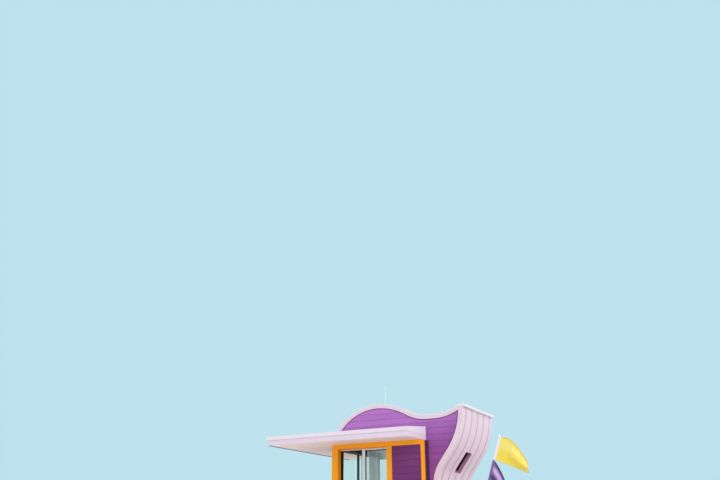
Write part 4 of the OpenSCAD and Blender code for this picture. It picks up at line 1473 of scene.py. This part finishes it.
class TOWER_OT_ramp(Operator):
    """Ramp boards and cleats on their stringers"""

    bl_idname = "tower.ramp"
    bl_label = "Ramp"

    def execute(self, context):
        sizes = context.scene.tower_sizes
        low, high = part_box("ramp_boards")
        top = Vector((low.y, high.z))
        slope = Vector((high.y, low.z)) - top
        run = slope.normalized()
        across = Vector((run.y, -run.x))
        count = math.ceil(slope.length / sizes.deck_board)
        pitch = slope.length / count
        self.planks(sizes, top, run, across, count, pitch)

        screws = Shape(83)
        from_edge = 0.25
        stringers = [corner_box(corners) for corners in solids("ramp_stringers")]
        for i in range(count):
            for stringer_low, stringer_high in stringers:
                for part in (from_edge, 1 - from_edge):
                    y, z = top + run * ((i + part) * pitch)
                    x = (stringer_low.x + stringer_high.x) / 2
                    deck_screw(screws, (x, y, z), (0, -across.x, -across.y), sizes)
        screws.piece("ramp_screws", "clamp_steel")

        cleats = Shape(82)
        inset, cleat_wide, cleat_thick = 0.14, 0.035, 0.018
        for i in range(1, math.floor(slope.length / sizes.cleat_pitch)):
            first = top + run * i * sizes.cleat_pitch
            last = first + run * cleat_wide
            ends = [first, last, last - across * cleat_thick, first - across * cleat_thick]
            cleats.prism([(low.x + inset, *point) for point in ends], (high.x - low.x - 2 * inset, 0, 0), 0)
        cleats.piece("ramp_cleats", "decking", bevel=BOARD_EDGE)
        dress("timber_y", "ramp_stringers", bevel=TIMBER_EDGE)
        dress("timber_z", "ramp_legs", bevel=BEAM_EDGE)
        return {"FINISHED"}

    def planks(self, sizes, top, run, across, count, pitch):
        """Boards across the ramp, cut off level with the ground and with the deck's edge."""
        low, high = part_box("ramp_boards")
        head = [point for point in outline("ramp_boards") if abs(point.x - low.y) < TINY]
        thick = min((point - top).dot(across) for point in head if point.y < high.z - TINY)
        gap = sizes.board_gap / 2
        boards = Shape(81)
        for i in range(-1, count + 1):
            first = top + run * (i * pitch + gap)
            last = top + run * ((i + 1) * pitch - gap)
            ends = [first, last, last + across * thick, first + across * thick]
            boards.prism([(low.x, *point) for point in ends], (high.x - low.x, 0, 0), 0)
        boards.trim([(low, (0, -1, 0)), (low, (0, 0, -1))])
        boards.piece("ramp_planks", "decking", ["ramp_boards"], bevel=BOARD_EDGE)


class TOWER_OT_railings(Operator):
    """Painted railings of the deck and the ramp, with the shoes of their posts"""

    bl_idname = "tower.railings"
    bl_label = "Railings"

    def execute(self, context):
        sizes = context.scene.tower_sizes
        names = ("near_railing", "far_railing", "front_railing", "rear_railing")
        dress("railing_paint", *names, "ramp_railings", bevel=TIMBER_EDGE)
        shoes = Shape(91)
        for name in names:
            for low, high in self.feet(name):
                self.shoe(shoes, low, high, sizes.bolt_radius * 0.5)
        shoes.piece("railing_post_shoes", "clamp_steel", bevel=SHEET_EDGE)
        return {"FINISHED"}

    def feet(self, name):
        """The lowest and highest corners of each post's foot, at the node's lowest level."""
        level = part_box(name)[0].z + TINY
        corners = [vert.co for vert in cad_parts[name].data.vertices if vert.co.z < level]
        widest_post = 0.2
        groups = []
        for corner in corners:
            for group in groups:
                if (group[0] - corner).length < widest_post:
                    group.append(corner)
                    break
            else:
                groups.append([corner])
        return [corner_box(group) for group in groups]

    def shoe(self, shape, low, high, bolt):
        """A steel shoe around a post's foot, bolted through on both sides."""
        thin, tall = 0.004, 0.09
        shape.block((low.x - thin, low.y - thin, low.z), (low.x, high.y + thin, low.z + tall))
        shape.block((high.x, low.y - thin, low.z), (high.x + thin, high.y + thin, low.z + tall))
        shape.block((low.x, low.y - thin, low.z), (high.x, low.y, low.z + tall))
        shape.block((low.x, high.y, low.z), (high.x, high.y + thin, low.z + tall))
        middle = (low + high) / 2
        for y, side in ((low.y - thin, -1), (high.y + thin, 1)):
            shape.bolt((middle.x, y, low.z + tall / 2), (0, side, 0), bolt)


class TOWER_OT_flag_pole(Operator):
    """Flag pole and its bracket"""

    bl_idname = "tower.flag_pole"
    bl_label = "Flag pole"

    def execute(self, context):
        dress("white_pole", "flag_pole")
        dress("clamp_steel", "pole_bracket", bevel=SHEET_EDGE)
        return {"FINISHED"}


def flag_corners(name):
    """A flag's corners as (y, z): top and bottom at the pole, then top and bottom of its free end."""
    loop = outline(name)
    top = max(loop, key=lambda point: point.y)
    bottom = min(loop, key=lambda point: point.x)
    free = sorted((point for point in loop if point not in (top, bottom)), key=lambda point: -point.y)
    return top, bottom, free[0], free[-1]


class TOWER_OT_flags(Operator):
    """Cloth of the two flags, gathered in folds towards its free end"""

    bl_idname = "tower.flags"
    bl_label = "Flags"

    def execute(self, context):
        sizes = context.scene.tower_sizes
        # How high the upper edge bows, how much the folds calm down towards the free end, how many folds
        # there are, and where in a fold the upper edge starts
        flying = {"rise": sizes.flag_lift, "calm": 0.45, "folds": 1.15, "phase": 0.66}
        drooping = {"rise": sizes.flag_lift * 0.3, "calm": 0, "folds": 1.5, "phase": 0.5}
        self.flag(sizes, "yellow", flying, "yellow_cloth", "white_heading")
        self.flag(sizes, "purple", drooping, "purple_cloth", "purple_cloth")
        return {"FINISHED"}

    def flag(self, sizes, name, look, finish, heading_finish):
        """One flag: its folded sheet, the fall of the cloth, its hems and its heading."""
        node = name + "_flag"
        top, bottom, free_top, free_bottom = flag_corners(node)
        free_bottom = free_top - Vector((0, (free_top - free_bottom).length))
        wide = (top - bottom).length
        rows = round(wide / sizes.flag_step)
        columns = round((free_top - top).length / sizes.flag_step)
        heads = self.upper_edge(top, free_top, columns, look["rise"])
        steps = [(after - before).length for before, after in zip(heads, heads[1:])]
        x = sum(corner.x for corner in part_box(node)) / 2
        places, cut = [], []
        for i, head in enumerate(heads):
            along = i / columns
            foot = bottom.lerp(free_bottom, along)
            spare = math.sqrt(max(wide ** 2 - (head - foot).length_squared, 0))
            for j, (out, slope) in enumerate(self.folds(sizes, look, rows, along, spare)):
                down = j / rows
                places.append((x + out, *head.lerp(foot, down)))
                # The fold's slope goes with each point, for the cloth's painted light and shade
                cut.append((sum(steps[:i]), down * wide, slope))
        quads = []
        for i in range(columns):
            for a in range(i * (rows + 1), i * (rows + 1) + rows):
                quads.append((a, a + 1, a + rows + 2, a + rows + 1))

        cloth = placed(node + "_cloth", cloth_mesh(node + "_cloth", places, quads, cut), finish)
        held = cloth.vertex_groups.new(name="held")
        for i in range(columns + 1):
            grip = sizes.flag_hold if i else 1.0
            held.add(range(i * (rows + 1), (i + 1) * (rows + 1)), grip, "REPLACE")
        self.fall(sizes, cloth)
        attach(cloth, "root")
        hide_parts(node)
        band_columns = round(sizes.flag_heading / sizes.flag_step)
        hems = self.hems(cloth, node + "_hems", rows, columns, band_columns, finish)
        heading = self.heading(sizes, cloth, node + "_heading", rows, band_columns, heading_finish)

    def upper_edge(self, top, free_top, columns, rise):
        """Points along a flag's upper edge, which bows up most between the pole and its middle."""
        outward = Vector((top.y - free_top.y, free_top.x - top.x)).normalized()
        early = 0.7
        heads = []
        for i in range(columns + 1):
            along = i / columns
            heads.append(top.lerp(free_top, along) + outward * rise * math.sin(math.pi * along ** early))
        return heads

    def folds(self, sizes, look, rows, along, spare):
        """How far out the cloth lies from its upper to its lower edge, and how steep its folds are there.

        The spare cloth is what the straight line between the two edges leaves over.
        """
        # Spare cloth that a fold takes up, for each metre of its depth
        taken = 4.5
        ripples, fade_in = 3, 8
        deep = spare / (taken * look["folds"]) * (1 - look["calm"] * along ** 2)
        for j in range(rows + 1):
            turn = 2 * math.pi * (look["folds"] * (j / rows) + look["phase"])
            crest = math.sin(turn) + sizes.flag_ripple * math.sin(ripples * turn + along)
            slope = math.cos(turn) + sizes.flag_ripple * math.cos(ripples * turn + along)
            yield crest * deep, slope * min(fade_in * along, 1)

    def fall(self, sizes, cloth):
        """Lets the cloth fall from its folds for a moment, held at the pole and softly elsewhere."""
        fabric = cloth.modifiers.new("cloth", "CLOTH")
        fabric.settings.quality = 8
        fabric.settings.mass = 0.15
        fabric.settings.tension_stiffness = 12
        fabric.settings.compression_stiffness = 12
        fabric.settings.shear_stiffness = 4
        fabric.settings.bending_stiffness = 0.3
        fabric.settings.air_damping = 2
        fabric.settings.vertex_group_mass = "held"
        fabric.settings.pin_stiffness = 1
        fabric.point_cache.frame_start = 1
        fabric.point_cache.frame_end = sizes.flag_frames
        scene = bpy.context.scene
        for number in range(1, sizes.flag_frames + 1):
            scene.frame_set(number)
        bake(cloth)
        scene.frame_set(1)

    def hems(self, cloth, name, rows, columns, first, finish):
        """The folded hems along a flag's long edges and its free end."""
        border = []
        for quad in cloth.data.polygons:
            i, j = divmod(quad.vertices[0], rows + 1)
            if i >= first and (i == columns - 1 or j in (0, rows - 1)):
                border.append(tuple(quad.vertices))
        used = sorted({v for quad in border for v in quad})
        order = {v: k for k, v in enumerate(used)}
        places = [cloth.data.vertices[v].co for v in used]
        marks = [cloth.data.attributes["grain"].data[v].vector for v in used]
        quads = [[order[v] for v in quad] for quad in border]
        return sewn_piece(name, places, quads, marks, HEM_THICK, finish)

    def heading(self, sizes, cloth, name, rows, band_columns, finish):
        """The heading along the pole: a doubled band of the cloth, and the sleeve around the pole."""
        count = (band_columns + 1) * (rows + 1)
        places = [vert.co.copy() for vert in cloth.data.vertices[:count]]
        marks = [item.vector.copy() for item in cloth.data.attributes["grain"].data[:count]]
        quads = [tuple(quad.vertices) for quad in cloth.data.polygons if max(quad.vertices) < count]
        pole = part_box("flag_pole")
        x = (pole[0].x + pole[1].x) / 2
        run = (places[0] - places[rows]).normalized()
        away = Vector((0, run.z, -run.y))
        sides, pucker, twist = 12, 0.05, 0.9
        for j in range(rows + 1):
            edge = places[j]
            middle = Vector((x, edge.y, edge.z)) - away * (pole[1].x - pole[0].x) / 2 * POLE_SHARE
            for k in range(sides):
                angle = 2 * math.pi * k / sides
                wide = sizes.pole_sleeve * (1 + pucker * math.sin(twist * j + 2 * angle))
                places.append(middle + (away * math.cos(angle) + Vector((1, 0, 0)) * math.sin(angle)) * wide)
                marks.append(Vector((wide * angle, j * sizes.flag_step, 0)))
        for j in range(rows):
            for k in range(sides):
                a, b = count + j * sides, count + (j + 1) * sides
                after = (k + 1) % sides
                quads.append((a + k, b + k, b + after, a + after))
        return sewn_piece(name, places, quads, marks, HEADING_THICK, finish)


def cloth_mesh(name, places, quads, marks):
    """A smooth mesh of cloth that keeps where each point lay in the flat cloth."""
    data = bpy.data.meshes.new(name)
    data.from_pydata(places, [], quads)
    data.shade_smooth()
    grain = data.attributes.new("grain", "FLOAT_VECTOR", "POINT")
    for item, place in zip(grain.data, marks):
        item.vector = place
    return data


def sewn_piece(name, places, quads, marks, thick, finish):
    """A piece of doubled cloth sewn to a flag."""
    obj = placed(name, cloth_mesh(name, places, quads, marks), finish)
    shell = obj.modifiers.new("doubled", "SOLIDIFY")
    shell.thickness = thick
    shell.offset = 0
    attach(obj, "root")
    return obj


class TOWER_OT_stage(Operator):
    """Pale ground, soft light and the camera"""

    bl_idname = "tower.stage"
    bl_label = "Stage"

    def execute(self, context):
        scene = context.scene
        scene.view_settings.view_transform = "Standard"
        self.ground()
        self.sky(scene, scene.tower_colours.backdrop)
        self.sun(scene)
        self.camera(scene)
        return {"FINISHED"}

    def ground(self):
        """A wide round floor."""
        floor = bmesh.new()
        bmesh.ops.create_circle(floor, cap_ends=True, segments=96, radius=GROUND_RADIUS)
        data = bpy.data.meshes.new("stage_floor")
        floor.to_mesh(data)
        floor.free()
        plane = placed("stage_floor", data, "ground")

    def sky(self, scene, backdrop):
        """Plain light from all sides; the camera, glass and gloss see the backdrop colour."""
        world = bpy.data.worlds.new("sky")
        scene.world = world
        world.use_nodes = True
        graph = Graph(world.node_tree)
        up = graph.axes(graph.node("ShaderNodeTexCoord", out="Generated"))[2]
        rise = graph.node("ShaderNodeMapRange", None, {"Value": up, "To Min": SKY_LEVEL, "To Max": SKY_ABOVE})
        background = graph.tree.nodes["Background"]
        graph.feed(background, {"Color": SKY_TINT, "Strength": rise})
        light = Wire(graph, background.outputs[0])
        shown = graph.node("ShaderNodeBackground", None, {"Color": backdrop})
        choice = graph.node("ShaderNodeMixShader", None, {0: graph.showing(), 1: light, 2: shown})
        graph.feed(graph.tree.nodes["World Output"], {"Surface": choice})

    def sun(self, scene):
        """One soft sun from behind the tower's rear wall, on the near side."""
        lamp = bpy.data.lights.new("soft_sun", "SUN")
        lamp.energy = SUN_STRENGTH
        lamp.angle = math.radians(SUN_WIDTH)
        lamp.color = SUN_TINT
        sun = bpy.data.objects.new("soft_sun", lamp)
        sun.rotation_mode = "QUATERNION"
        sun.rotation_quaternion = SUN_TOWARD.to_track_quat("Z", "Y")
        scene.collection.objects.link(sun)

    def camera(self, scene):
        """The camera where the photograph was taken from."""
        camera = bpy.data.objects.new("camera", bpy.data.cameras.new("camera"))
        camera.data.lens = LENS
        camera.data.sensor_width = SENSOR
        camera.data.clip_end = FARTHEST_SHOWN
        heading, pitch = math.radians(EYE_HEADING), math.radians(EYE_PITCH)
        level = math.cos(pitch)
        back = Vector((math.sin(heading) * level, -math.cos(heading) * level, -math.sin(pitch)))
        camera.location = EYE
        camera.rotation_mode = "QUATERNION"
        camera.rotation_quaternion = back.to_track_quat("Z", "Y")
        scene.collection.objects.link(camera)
        scene.camera = camera


class TOWER_PT_parts(Panel):
    """The tower's operators and settings"""

    bl_idname = "TOWER_PT_parts"
    bl_label = "Lifeguard Tower"
    bl_space_type = "VIEW_3D"
    bl_region_type = "UI"
    bl_category = "Tower"

    def draw(self, context):
        for operator in OPERATORS:
            self.layout.operator(operator.bl_idname)
        for group in (context.scene.tower_sizes, context.scene.tower_colours):
            box = self.layout.box()
            for name in group.__annotations__:
                box.prop(group, name)


OPERATORS = (
    TOWER_OT_wave_roof,
    TOWER_OT_rear_wall,
    TOWER_OT_siding,
    TOWER_OT_canopy,
    TOWER_OT_bays,
    TOWER_OT_side_windows,
    TOWER_OT_front_window,
    TOWER_OT_far_door,
    TOWER_OT_deck,
    TOWER_OT_substructure,
    TOWER_OT_ramp,
    TOWER_OT_railings,
    TOWER_OT_flag_pole,
    TOWER_OT_flags,
    TOWER_OT_stage,
)
CLASSES = (TowerSizes, TowerColours, *OPERATORS, TOWER_PT_parts)


def register():
    for cls in CLASSES:
        bpy.utils.register_class(cls)
    bpy.types.Scene.tower_sizes = PointerProperty(type=TowerSizes)
    bpy.types.Scene.tower_colours = PointerProperty(type=TowerColours)


def unregister():
    del bpy.types.Scene.tower_colours
    del bpy.types.Scene.tower_sizes
    for cls in reversed(CLASSES):
        bpy.utils.unregister_class(cls)


def main():
    register()
    scene = bpy.context.scene
    finishes(scene.tower_sizes, scene.tower_colours)
    for operator in OPERATORS:
        group, name = operator.bl_idname.split(".")
        getattr(getattr(bpy.ops, group), name)()
    bpy.context.view_layer.update()


if __name__ == "__main__":
    main()
